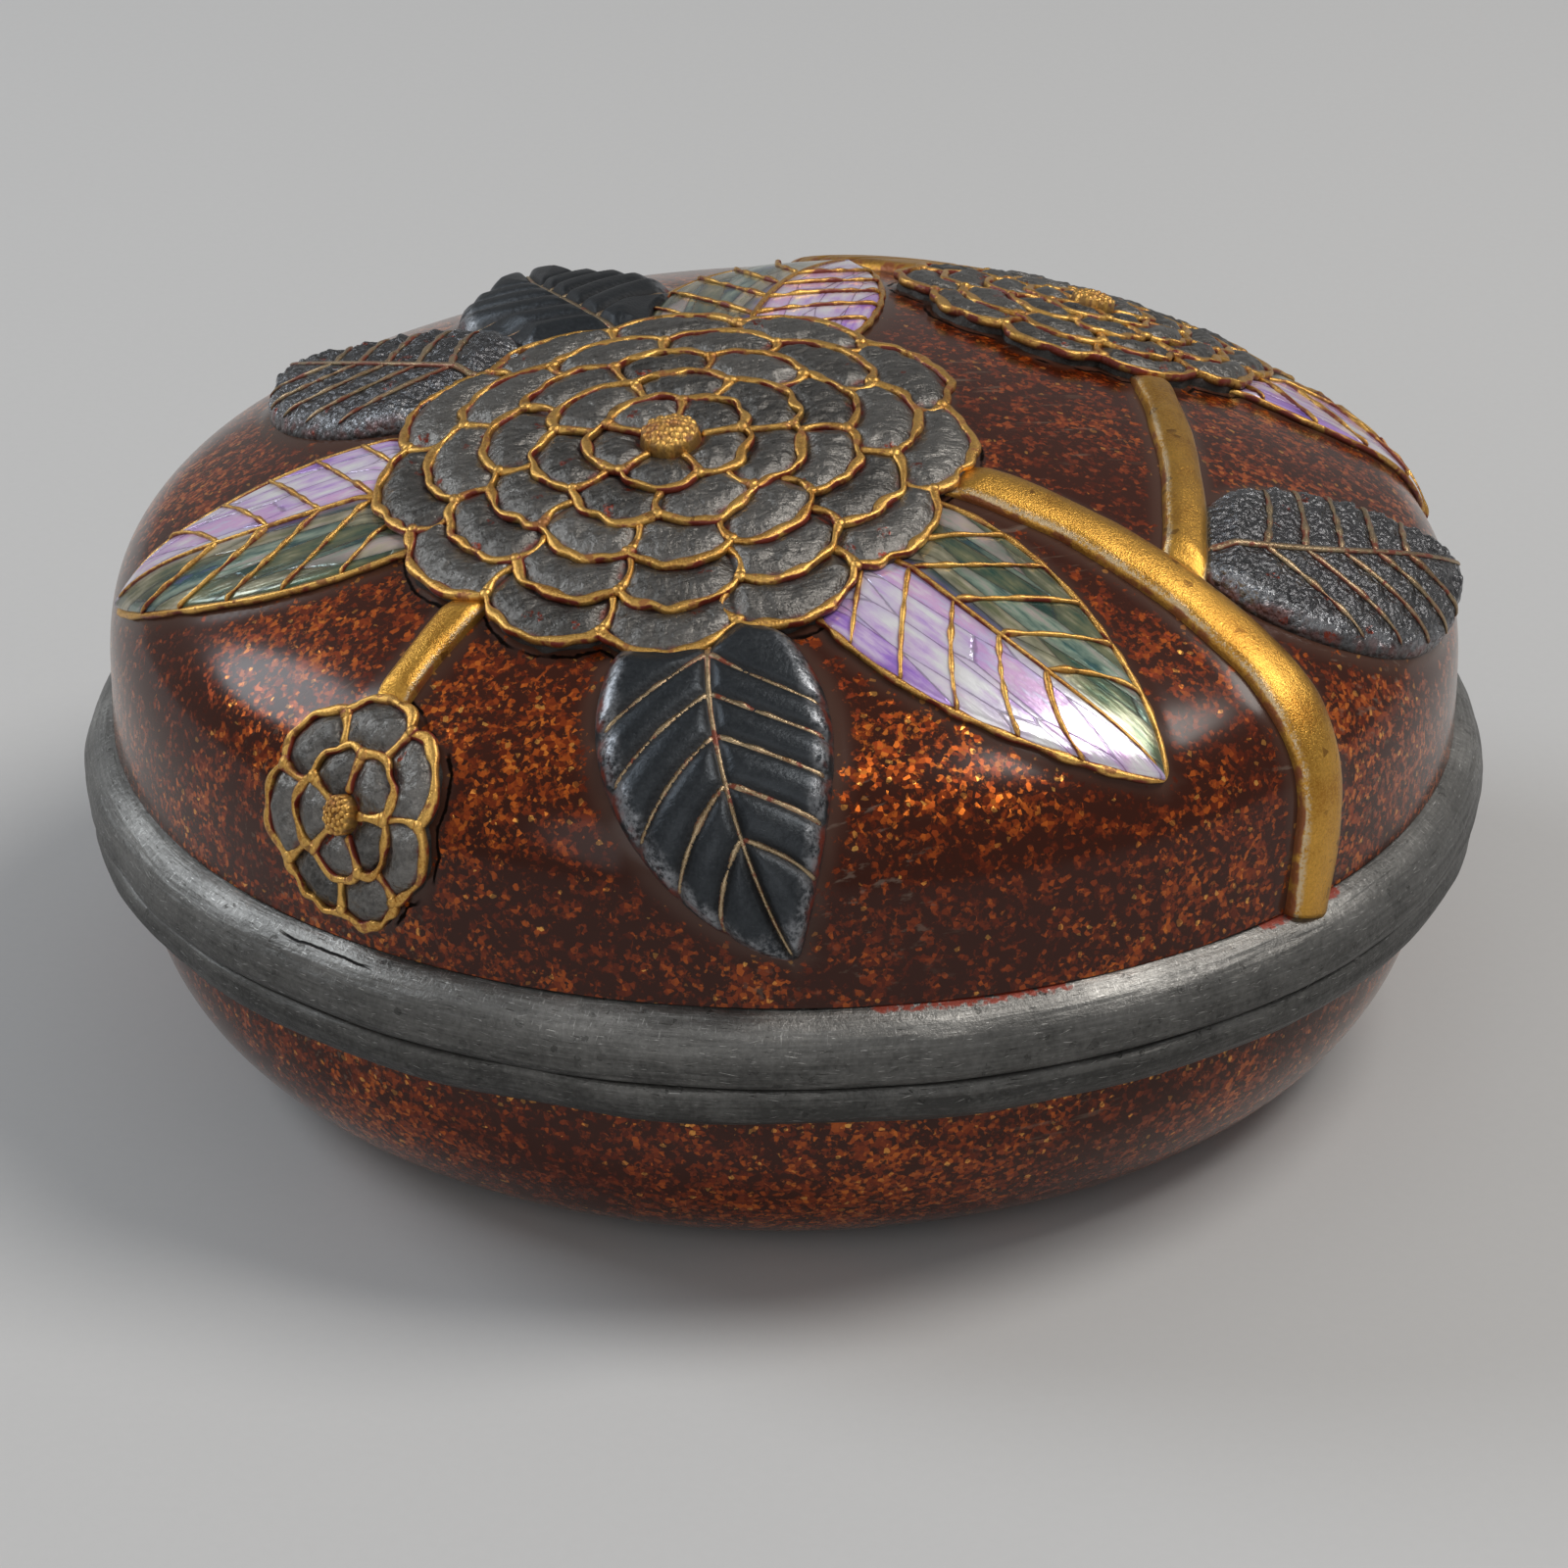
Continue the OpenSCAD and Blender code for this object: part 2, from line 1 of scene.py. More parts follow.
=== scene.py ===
import bmesh
import bpy
import numpy as np
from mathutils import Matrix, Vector


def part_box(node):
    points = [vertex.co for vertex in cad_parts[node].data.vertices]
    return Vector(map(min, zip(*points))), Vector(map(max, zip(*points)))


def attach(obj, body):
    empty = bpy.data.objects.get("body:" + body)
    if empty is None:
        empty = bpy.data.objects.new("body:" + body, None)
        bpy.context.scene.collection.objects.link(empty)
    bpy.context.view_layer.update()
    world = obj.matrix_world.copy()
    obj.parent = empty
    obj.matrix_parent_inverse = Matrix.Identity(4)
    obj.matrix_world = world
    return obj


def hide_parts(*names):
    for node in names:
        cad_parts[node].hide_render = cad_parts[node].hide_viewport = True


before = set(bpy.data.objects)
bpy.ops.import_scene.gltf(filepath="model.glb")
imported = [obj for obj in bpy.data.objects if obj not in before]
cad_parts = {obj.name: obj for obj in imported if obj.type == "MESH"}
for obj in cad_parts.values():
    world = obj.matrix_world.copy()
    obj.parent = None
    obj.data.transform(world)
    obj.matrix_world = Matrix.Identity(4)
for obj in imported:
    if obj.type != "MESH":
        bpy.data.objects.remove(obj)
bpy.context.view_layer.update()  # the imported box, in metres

mm = 0.001  # sizes below are in millimetres
fullTurn = 2 * np.pi


def boxOf(node):
    low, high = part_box(node)
    return np.array(low) / mm, np.array(high) / mm


# Lid outline: a straight wall, a shoulder arc and a crown arc tangent to it
lidForm = dict(
    shoulderRise=8.7, shoulderR=7.5, blend=3.5, wall=2.7, bandSeat=1.4, mouthEase=0.4,
    waver=0.02, waverWave=14, waverSeed=3, edgeHold=3, bed=0.10, halo=1.1, riftReach=1.5,
    columns=408, rows=156, insideStep=1.6, crease=40,
)
bandBox, shellBox = boxOf("lid_rim_band"), boxOf("lid_shell")
seamZ, bandTopZ = bandBox[0][2], bandBox[1][2]
wallR, crownZ = shellBox[1][0], shellBox[1][2]
shoulderZ = seamZ + lidForm["shoulderRise"]
shoulderR = lidForm["shoulderR"]
shoulderX = wallR - shoulderR
shoulderTop = crownZ - shoulderR
crownMidZ = (shoulderX**2 + shoulderZ**2 - shoulderTop**2) / (2 * (shoulderZ - shoulderTop))
crownR = crownZ - crownMidZ
crownLean = np.arctan2(shoulderX, shoulderZ - crownMidZ)
crownLen = crownR * crownLean
shoulderLen = shoulderR * (np.pi / 2 - crownLean)
faceLen = crownLen + shoulderLen + shoulderZ - bandTopZ


# The lid's face is drawn flat about its crown: distance from the middle is distance down the dome,
# and direction is azimuth, with the front at -Y

def domeOutline():
    # the outline's lean against the distance down it, blended where the arcs meet and summed up
    # to radius and height
    spare, samples = 10, 6000  # it runs a little past both ends
    s = np.linspace(-spare, faceLen + spare, samples)
    step = s[1] - s[0]
    lean = np.minimum(crownLean + (s - crownLen) / shoulderR, np.pi / 2)
    lean = np.where(s < crownLen, s / crownR, lean)
    width = int(lidForm["blend"] / step)
    window = np.hanning(2 * width + 1)
    lean = np.convolve(np.pad(lean, width, mode="edge"), window / window.sum(), mode="valid")
    start, end = np.searchsorted(s, (0, faceLen))
    r = np.cumsum(np.cos(lean)) * step
    z = -np.cumsum(np.sin(lean)) * step
    r, z = r - r[start], z - z[start]
    return s, r * wallR / r[end], crownZ + z * (bandTopZ - crownZ) / z[end], lean


outlineS, *outlineLines = domeOutline()


def domeAt(s):
    # radius, height and lean of the dome's outline, a distance s down it
    return [np.interp(s, outlineS, line) for line in outlineLines]


def onFace(x, y, h):
    # a point of the flat face carried to the dome and raised h along its normal
    s = np.hypot(x, y)
    r, z, lean = domeAt(s)
    r = r + h * np.sin(lean)
    safe = np.where(s > 1e-9, s, 1)
    return np.stack([r * x / safe, r * y / safe, z + h * np.cos(lean)], -1)


def pair(a, b):
    # two arrays as one of flat points
    return np.stack(np.broadcast_arrays(a, b), -1)


def around(columns):
    # angles of a full turn in equal steps
    return np.linspace(0, fullTurn, columns + 1)


def polar(r, angle):
    return r * np.cos(angle), r * np.sin(angle)


def towards(azimuth):
    # a step of one millimetre on the face
    return np.array(polar(1.0, np.radians(azimuth)))


def place(share, azimuth):
    # a spot on the face, a share of the way from the crown to the rim band
    return faceLen * share * towards(azimuth)


def smooth(low, high, value):
    # a soft step from 0 at low to 1 at high
    t = np.clip((value - low) / (high - low), 0, 1)
    return t * t * (3 - 2 * t)


def rounded(u, power=2):
    # 1 in the middle of a span from -1 to 1, rounded down to 0 at its ends
    return np.sqrt(np.clip(1 - np.abs(u)**power, 0, 1))


def flattened(wave, power):
    # a wave raised to a power, with its sign kept
    return np.sign(wave) * np.abs(wave)**power


def ripple(points, wave, seed):
    # soft random relief of strength 1: a sum of plane waves in random directions, each about one wave long
    count, shortest, longest = 20, 0.6, 1.5
    draw = np.random.default_rng(seed)
    ways = draw.normal(size=(count, points.shape[-1]))
    stretch = fullTurn / wave * draw.uniform(shortest, longest, count) / np.linalg.norm(ways, axis=1)
    phase = draw.uniform(0, fullTurn, count)
    return np.sin(points @ (ways * stretch[:, None]).T + phase).sum(-1) * np.sqrt(2 / count)


def ripples(points, waves, seed):
    # ripples of several depths and wavelengths, added up
    return sum(depth * ripple(points, wave, seed + i) for i, (depth, wave) in enumerate(waves))


def scatter(a, b, seed):
    # a repeatable random number from 0 to 1 for each pair of numbers
    return np.modf(np.abs(np.sin(a * 12.9898 + b * 78.233 + seed * 37.719)) * 43758.5453)[0]


def cells(x, y, size, seed):
    # distances to the nearest and the next of a jittered grid of points, in cells
    x, y = x / size, y / size
    near = []
    for i in (-1, 0, 1):
        for j in (-1, 0, 1):
            cx, cy = np.floor(x) + i, np.floor(y) + j
            near.append(np.hypot(cx + scatter(cx, cy, seed) - x, cy + scatter(cx, cy, seed + 1) - y))
    return np.sort(near, axis=0)[:2]


# Arcs on the flat face

def arcBetween(start, end, bend):
    # the arc from start to end that turns by some degrees
    chord, half = end - start, np.radians(bend / 2)
    heading = np.degrees(np.arctan2(chord[1], chord[0])) - bend / 2
    return dict(start=start, heading=heading, length=np.hypot(*chord) * half / np.sin(half), bend=bend)


def arcCircle(arc):
    # an arc's radius, negative where it bends to the right, and its heading in radians
    return arc["length"] / np.radians(arc["bend"]), np.radians(arc["heading"])


def arcPoint(arc, t, left=0.0):
    # a share t of the way along a circular arc, a distance to its left
    radius, head = arcCircle(arc)
    now = head + np.radians(arc["bend"]) * t
    x = arc["start"][0] + radius * (np.sin(now) - np.sin(head)) - left * np.sin(now)
    y = arc["start"][1] + radius * (np.cos(head) - np.cos(now)) + left * np.cos(now)
    return x, y


def arcInverse(arc, x, y):
    # the share along an arc, and the distance to its left, of points of the face
    radius, head = arcCircle(arc)
    dx = x - arc["start"][0] + radius * np.sin(head)
    dy = y - arc["start"][1] - radius * np.cos(head)
    side = np.sign(radius)
    now = np.arctan2(side * dx, -side * dy)
    swing = (now - head + np.pi) % fullTurn - np.pi
    return swing / np.radians(arc["bend"]), radius - side * np.hypot(dx, dy)


def pastEnds(arc, t):
    # how far a share along an arc lies past its nearer end
    return (np.abs(t - 0.5) - 0.5) * arc["length"]


# Spray on the lid. Blooms: petals in each ring are counted from the outside in
bloomForm = dict(ringTurn=11, fullness=1.5, skew=2.5, wave=0.03)
blooms = dict(
    large=dict(at=place(0.28, 244), r=15.4, heart=1.5, rings=[12, 11, 10, 7, 5], columns=720, seed=11),
    small=dict(at=place(0.45, 36), r=10.6, heart=1.2, rings=[10, 9, 7, 5], columns=560, seed=23),
    young=dict(at=place(0.85, 234), r=5.6, heart=0.9, rings=[7, 5], columns=360, seed=37),
)
mainArc = arcBetween(place(1, -44), blooms["large"]["at"], 58)
smallArc = arcBetween(np.array(arcPoint(mainArc, 0.4)), blooms["small"]["at"], 24)
youngArc = arcBetween(blooms["large"]["at"], blooms["young"]["at"], 20)
stems = dict(
    main=dict(arc=mainArc, wide=3.8, narrow=2.6, node="main_stem", seed=41),
    small=dict(arc=smallArc, wide=2.5, narrow=1.9, node="small_bloom_twig", seed=43),
    young=dict(arc=youngArc, wide=2.5, narrow=1.9, node="young_bloom_twig", seed=47),
)
leafSizes = dict(pewter=(21.0, 12.0), shell=(25.0, 12.0), gold=(22.0, 10.5))


def leafFrom(root, heading, bend, kind, seed):
    # a leaf from a place under a bloom (bloom, angle, share of its radius) or on the small twig (share)
    if len(root) == 3:
        bloom = blooms[root[0]]
        start = bloom["at"] + root[2] * bloom["r"] * towards(root[1])
    else:
        start = np.array(arcPoint(smallArc, root[0]))
    length, width = leafSizes[kind]
    return dict(arc=dict(start=start, heading=heading, length=length, bend=bend), width=width, seed=seed)


# Leaves, uppermost first
leaves = dict(
    front=leafFrom(("large", -79, 0.8), -100, 44, "pewter", 51),
    rightShell=leafFrom(("large", -32, 0.5), -50, 20, "shell", 52),
    right=leafFrom((0.1,), 15, 40, "pewter", 53),
    leftShell=leafFrom(("large", 172, 0.5), 188, -30, "shell", 54),
    left=leafFrom(("large", 132, 0.8), 150, -34, "pewter", 55),
    crownShell=leafFrom(("large", 66, 0.5), 86, -22, "shell", 56),
    back=leafFrom(("large", 100, 0.8), 122, -26, "pewter", 57),
    backShell=leafFrom(("small", 0, 0.05), -10, 20, "shell", 58),
    gold=leafFrom(("small", 122, 0.7), 138, -30, "gold", 59),
)
leafShape = dict(basePower=0.6, tipPower=0.85)
veinForm = dict(count=5, first=0.2, last=0.68, rise=0.18, reach=0.92, slant=0.85, lift=0.04, wide=0.19,
                high=0.14)


def leafHalf(leaf, t):
    # half the width of a leaf: powers of the shares from its base and from its tip
    base, tip = leafShape["basePower"], leafShape["tipPower"]
    widest = base / (base + tip)
    t = np.clip(t, 0, 1)
    return leaf["width"] / 2 * (t / widest)**base * ((1 - t) / (1 - widest))**tip


def veinAt(k, across):
    # where side vein k lies along a leaf, at a share of the half width
    step = (veinForm["last"] - veinForm["first"]) / (veinForm["count"] - 1)
    return veinForm["first"] + step * k + veinForm["rise"] * across


def stemHalf(stem, t):
    # half the width of a stem, which narrows evenly
    return (stem["wide"] + (stem["narrow"] - stem["wide"]) * t) / 2


def ringEdge(bloom, ring, angle):
    # outer edge of a ring of overlapping round petals, as a distance from the bloom's middle
    count = len(bloom["rings"])
    if ring == count:
        return np.full_like(angle, bloom["heart"])
    step = 360 / bloom["rings"][ring]
    spread = np.sin(np.radians(step / 2))
    off = angle - ring * bloomForm["ringTurn"]
    x = np.radians(off - step * np.round(off / step))
    tip = bloom["heart"] + (bloom["r"] - bloom["heart"]) * (count - ring) / count
    petal = bloomForm["fullness"] * tip * spread / (1 + spread)
    reach = tip - petal
    return reach * np.cos(x) + np.sqrt(np.maximum(0, petal**2 - (reach * np.sin(x))**2))


def outOfRound(angle):
    # a bloom's radius swells and shrinks three times round
    return 1 + bloomForm["wave"] * np.sin(np.radians(3 * angle))


def bloomPoint(bloom, angle, r):
    # a point of a bloom, which is drawn a little out of round
    swung = np.radians(angle + bloomForm["skew"] * np.sin(np.radians(2 * angle)))
    dx, dy = polar(r * outOfRound(angle), swung)
    return bloom["at"][0] + dx, bloom["at"][1] + dy


# Signed gaps from points of the face to the pieces that lie over others

def bloomGap(bloom, x, y):
    # distance from the middle, less the outer petals' edge in that direction
    dx, dy = x - bloom["at"][0], y - bloom["at"][1]
    swung = np.degrees(np.arctan2(dy, dx))
    angle = swung - bloomForm["skew"] * np.sin(np.radians(2 * swung))
    return np.hypot(dx, dy) - ringEdge(bloom, 0, angle) * outOfRound(angle)


def stemGap(stem, x, y):
    # distance aside of the arc, less half the width, or past its ends
    t, left = arcInverse(stem["arc"], x, y)
    return np.maximum(np.abs(left) - stemHalf(stem, t), pastEnds(stem["arc"], t))


def leafGap(leaf, x, y):
    # the same for a leaf, whose half width changes along it
    slant = 0.8  # a leaf's margin runs at a slant to its arc
    t, left = arcInverse(leaf["arc"], x, y)
    return np.maximum(slant * (np.abs(left) - leafHalf(leaf, t)), pastEnds(leaf["arc"], t))


def nearest(x, y, someStems=(), someLeaves=()):
    # gap to the blooms, and to some of the stems and leaves
    gaps = [bloomGap(bloom, x, y) for bloom in blooms.values()]
    gaps += [stemGap(stem, x, y) for stem in someStems]
    gaps += [leafGap(leaf, x, y) for leaf in someLeaves]
    return np.min(gaps, axis=0)


def gapOver(name, x, y):
    # gap to whatever covers a leaf or a stem: blooms, then stems, then the leaves before it
    if name in leaves:
        return nearest(x, y, stems.values(), list(leaves.values())[:list(leaves).index(name)])
    return nearest(x, y, () if name == "mainStem" else (stems["main"],))


tuckForm = dict(reach=1.2, thin=0.6, lip=0.05, sink=0.35)


def tuck(h, gap):
    # a piece thins as it nears what covers it and then dips into the lacquer
    f = tuckForm
    near, out = smooth(0, f["reach"], gap), smooth(-f["sink"], -f["lip"], gap)
    return h * (f["thin"] + (1 - f["thin"]) * near) * out - f["sink"] * (1 - out)


# Shader sums

class Wire:
    # a node's output that takes part in sums, with the tree that it belongs to

    def __init__(self, tree, socket=None):
        self.tree, self.socket = tree, socket

    def node(self, kind, settings=None, sockets=None, out=0):
        made = self.tree.nodes.new(kind)
        for key, value in (settings or {}).items():
            if key == "stops":
                ramp = made.color_ramp
                while len(ramp.elements) < len(value):
                    ramp.elements.new(0.5)
                for stop, (at, colour) in zip(ramp.elements, value):
                    stop.position, stop.color = at, (*colour, 1)
            else:
                setattr(made, key, value)
        for key, value in (sockets or {}).items():
            if isinstance(value, Wire):
                self.tree.links.new(value.socket, made.inputs[key])
            else:
                made.inputs[key].default_value = value
        if isinstance(out, tuple):
            return [Wire(self.tree, made.outputs[key]) for key in out]
        return Wire(self.tree, made.outputs[out] if made.outputs else None)

    def maths(self, operation, a, b=0.0):
        return self.node("ShaderNodeMath", {"operation": operation}, {0: a, 1: b})

    def vectors(self, operation, sockets):
        return self.node("ShaderNodeVectorMath", {"operation": operation}, sockets)

    def __add__(self, other):
        return self.maths("ADD", self, other)

    def __sub__(self, other):
        return self.maths("SUBTRACT", self, other)

    def __mul__(self, other):
        return self.maths("MULTIPLY", self, other)

    __radd__, __rmul__ = __add__, __mul__

    def __rsub__(self, other):
        return self.maths("SUBTRACT", other, self)

    def __lt__(self, other):
        return self.maths("LESS_THAN", self, other)

    def step(self, low, high):
        # a soft step from 0 at low to 1 at high
        settings = {"interpolation_type": "SMOOTHSTEP"}
        return self.node("ShaderNodeMapRange", settings, {"Value": self, "From Min": low, "From Max": high})

    def mix(self, low, high):
        # two colours, by this value
        low, high = (paint if isinstance(paint, Wire) else (*paint, 1) for paint in (low, high))
        return self.node("ShaderNodeMix", {"data_type": "RGBA"}, {0: self, 6: low, 7: high}, 2)

    def coats(self, look, **amounts):
        # colours of a look laid over this one in turn, each by its amount
        colour = self
        for key, amount in amounts.items():
            colour = amount.mix(colour, look[key])
        return colour

    def ramp(self, *stops):
        return self.node("ShaderNodeValToRGB", {"stops": stops}, {"Fac": self})

    def noise(self, size, detail=2.0, rough=0.5):
        sockets = {"Vector": self, "Scale": 1 / (size * mm), "Detail": detail, "Roughness": rough}
        return self.node("ShaderNodeTexNoise", {}, sockets)

    def broken(self, size, out, feature="F1"):
        # space broken up in cells: a random colour for each, or the distance to its point or edge
        sockets = {"Vector": self, "Scale": 1 / (size * mm)}
        return self.node("ShaderNodeTexVoronoi", {"feature": feature}, sockets, out)

    def flecks(self, size):
        # a random colour and two random numbers for each cell
        colour = self.broken(size, "Color")
        return colour, *self.node("ShaderNodeSeparateColor", {}, {"Color": colour}, ("Red", "Green"))

    def bump(self, depth):
        return self.node("ShaderNodeBump", {}, {"Height": self, "Distance": depth * mm})

    def stretch(self, u, v, turn=0.0):
        # coordinates on which a pattern is drawn out by u and v, and turned by some degrees
        sockets = {"Vector": self, "Scale": (u, v, 1), "Rotation": (0, 0, np.radians(turn))}
        return self.node("ShaderNodeMapping", {"vector_type": "TEXTURE"}, sockets)

    def streaks(self, u, v, turn=0.0, detail=2.0, rough=0.5):
        # noise on a UV map in millimetres, drawn out to u by v
        return self.stretch(u, v, turn).noise(1 / mm, detail, rough)


def newFinish(name):
    material = bpy.data.materials.new(name)
    material.use_nodes = True
    material.node_tree.nodes.clear()
    root = Wire(material.node_tree)
    return material, root, root.node("ShaderNodeTexCoord", out="Object")


def uvMap(root):
    return root.node("ShaderNodeUVMap", {"uv_map": "uv"})


def readMarks(root, *names):
    return [root.node("ShaderNodeAttribute", {"attribute_name": name}, out="Fac") for name in names]


def shade(root, **sockets):
    named = {key.replace("_", " "): value for key, value in sockets.items()}
    surface = root.node("ShaderNodeBsdfPrincipled", {}, named)
    root.node("ShaderNodeOutputMaterial", {}, {"Surface": surface})


# Flaked lacquer: soft clumps of gold powder under amber lacquer, in clouds, with a few bright glints,
# flake-free and painted with a pale sheen beside the inlay, scuffed in places, and split round the blooms
lacquerLook = dict(
    clump=0.85, grain=0.26, glint=0.24, cloud=9.0, tilt=0.45, coat=(1.0, 0.84, 0.66, 1.0),
    flakes=((0.16, (0.060, 0.009, 0.002)), (0.42, (0.130, 0.020, 0.003)), (0.66, (0.25, 0.046, 0.006)),
            (0.86, (0.46, 0.115, 0.014)), (1.0, (0.62, 0.22, 0.035))),
    glints=((0.0, (0.62, 0.19, 0.025)), (1.0, (0.95, 0.56, 0.15))),
    # the pale grey beside the inlay is a painted sheen where the lacquer rises to meet it
    halo=(0.088, 0.054, 0.050), scuff=(0.20, 0.165, 0.15), split=(0.006, 0.003, 0.002),
)
lacquers = dict(
    flakedLacquer=dict(cover=0.68, ground=(0.040, 0.0085, 0.003), glow=1.0),
    denseLacquer=dict(cover=0.77, ground=(0.040, 0.0085, 0.003), glow=0.96),
    blackLacquer=dict(cover=0.10, ground=(0.010, 0.007, 0.006), glow=0.8),
)


def flakedLacquer(name, cover, ground, glow):
    look = lacquerLook
    material, root, at = newFinish(name)
    rim, near, beside = readMarks(root, "rim", "near", "rift")
    clouds = at.noise(look["cloud"], 3).step(0.32, 0.68)
    colour, pick, tint = at.flecks(look["grain"])
    glintPick, glintTint = at.flecks(look["glint"])[1:]
    mottle = at.noise(look["clump"], 4, 0.68)
    dense = mottle + clouds * 0.08 + pick * 0.22 - near * 0.20
    flake = dense.step(0.75 - cover * 0.2, 0.89 - cover * 0.2)
    glint = (glintPick < cover * (0.008 + clouds * 0.03 + rim * 0.30)) * (0.25 + flake * 0.6)
    bright = (tint * 0.58 + clouds * 0.26 + mottle * 0.26) * glow
    # beside the inlay the ground is painted pale grey: the lacquer is flake-free there, and a painted sheen
    # marks where it rises to the inlay
    ground = (near * 0.75).mix(ground, look["halo"])
    body = flake.mix(ground, bright.ramp(*look["flakes"]))
    body = glint.mix(body, glintTint.ramp(*look["glints"]))
    scratch = at.stretch(10.0, 0.7, 25.0).noise(0.5, 3, 0.6).step(0.58, 0.70)
    scuff = scratch * at.noise(16.0, 2).step(0.54, 0.64)
    rift = beside + at.noise(1.1, 3, 0.6) * 0.5
    split = root.maths("ABSOLUTE", rift - 0.92).step(0.13, 0.05) * at.noise(2.6, 2).step(0.40, 0.50)
    split = split * beside.step(0.05, 0.25)
    body = body.coats(look, scuff=scuff * 0.5, split=split)
    shown = root.maths("MAXIMUM", flake, glint)
    lean = root.vectors("SUBTRACT", {0: colour, 1: (0.5, 0.5, 0.5)})  # each flake lies at its own angle
    lean = root.vectors("SCALE", {0: lean, "Scale": shown * look["tilt"]})
    normal = root.vectors("ADD", {0: root.node("ShaderNodeNewGeometry", out="Normal"), 1: lean})
    shade(root, Base_Color=body, Metallic=flake * 0.25 + glint * 0.6, Roughness=0.42 - shown * 0.12,
          Normal=root.vectors("NORMALIZE", {0: normal}), Specular_IOR_Level=0.02,
          Coat_Weight=1.0 - split - scuff * 0.4, Coat_Roughness=0.18, Coat_IOR=1.36, Coat_Tint=look["coat"])
    return material


# Rim bands: drawn strips, streaked along their length, scratched, painted paler up their face (rubbed by
# hands and a painted highlight), and with painted shade along their edges
stripLook = dict(
    metal=((0.10, (0.060, 0.059, 0.056)), (0.5, (0.21, 0.206, 0.196)), (0.95, (0.52, 0.51, 0.485))),
    bright=(0.72, 0.71, 0.68), pit=(0.02, 0.02, 0.018), split=(0.006, 0.006, 0.006), splitAt=1.50,
    # the dirt colour is painted shade in the seam and where a band meets the lacquer
    red=(0.30, 0.050, 0.028), dirt=(0.016, 0.014, 0.011), tooth=0.08,
)


def pewterStrip(name):
    look = stripLook
    material, root, at = newFinish(name)
    worn, dirt, trace, parted = readMarks(root, "worn", "dirt", "trace", "split")
    uv = uvMap(root)
    streak, broad = uv.streaks(6.0, 0.20, 0, 5, 0.65), uv.streaks(16.0, 1.1, 0, 3)
    blotch, grain, fine = at.noise(2.2, 4, 0.6), at.noise(0.34, 3, 0.6), at.noise(0.13, 3, 0.7)
    dash = uv.streaks(0.75, 0.085).step(0.66, 0.72)
    rising = uv.streaks(1.5, 0.075, 9.0).step(0.68, 0.73)
    falling = uv.streaks(1.1, 0.065, -16.0).step(0.69, 0.74)
    scratch = root.maths("MAXIMUM", rising, falling)
    nick = uv.streaks(0.11, 0.60, 4.0).step(0.61, 0.71) * worn.step(0.40, 0.9)
    gouge = uv.streaks(1.3, 0.10, 3.0).step(0.67, 0.73)
    pit = at.flecks(0.36)[1].step(0.055, 0.01) * grain.step(0.42, 0.56)
    # worn paints the upper face paler, partly rubbed wear and partly a painted highlight
    tone = streak * 0.42 + broad * 0.22 + blotch * 0.36 + grain * 0.34 + worn * 0.36 - 0.44
    bright = dash * (0.30 + worn * 0.55) + nick * 0.5 + scratch * 0.5
    height = root.node("ShaderNodeSeparateXYZ", {}, {"Vector": uv}, "Y")
    wander = uv.streaks(1.6, 40.0, 0, 3) * 0.5
    split = root.maths("ABSOLUTE", height - wander - look["splitAt"]).step(0.085, 0.03) * parted
    red = (trace * (at.noise(0.45, 3) - 0.30) * 5.0).step(0.3, 0.8)
    # the dirt coat here is painted shade along the band's edges
    colour = tone.ramp(*look["metal"]).coats(look, bright=bright, pit=gouge * 0.6 + pit * 0.5, split=split,
                                             red=red, dirt=dirt * (0.55 + blotch * 0.6))
    relief = streak * 0.4 + grain * 0.5 + fine * 0.3 + scratch * 0.12
    relief = relief - gouge * 0.3 - pit * 0.5 - split * 1.5
    shade(root, Base_Color=colour, Metallic=0.85 - red * 0.7 - dirt * 0.4,
          Roughness=0.28 + blotch * 0.12 + fine * 0.22, Normal=relief.bump(look["tooth"]))
    return material


# Petals and leaves: beaten sheet with grains, pits and drawn streaks, dirt in its hollows, rims painted
# paler as rubbed wear and a painted highlight, and red lacquer at its edges
# the first colour is the leaves' paler rims: rubbed wear and a painted highlight
pewterLook = dict(bare=(0.34, 0.35, 0.37), rust=(0.17, 0.024, 0.010), speck=(0.22, 0.034, 0.016),
                  dirt=(0.016, 0.012, 0.010))
pewters = dict(
    petalPewter=dict(dark=(0.055, 0.052, 0.048), pale=(0.295, 0.283, 0.266), stain=1.0, gloss=0.18,
                     tooth=0.10, lump=0.5, grit=0.20, drawn=0.9),
    smoothPewter=dict(dark=(0.020, 0.023, 0.027), pale=(0.072, 0.080, 0.088), stain=0.9, gloss=0.30,
                      tooth=0.05, lump=0.6, grit=0.0, drawn=0.0),
    roughPewter=dict(dark=(0.050, 0.050, 0.053), pale=(0.25, 0.25, 0.26), stain=0.5, gloss=0.08,
                     tooth=0.13, lump=0.8, grit=1.2, drawn=0.0),
)


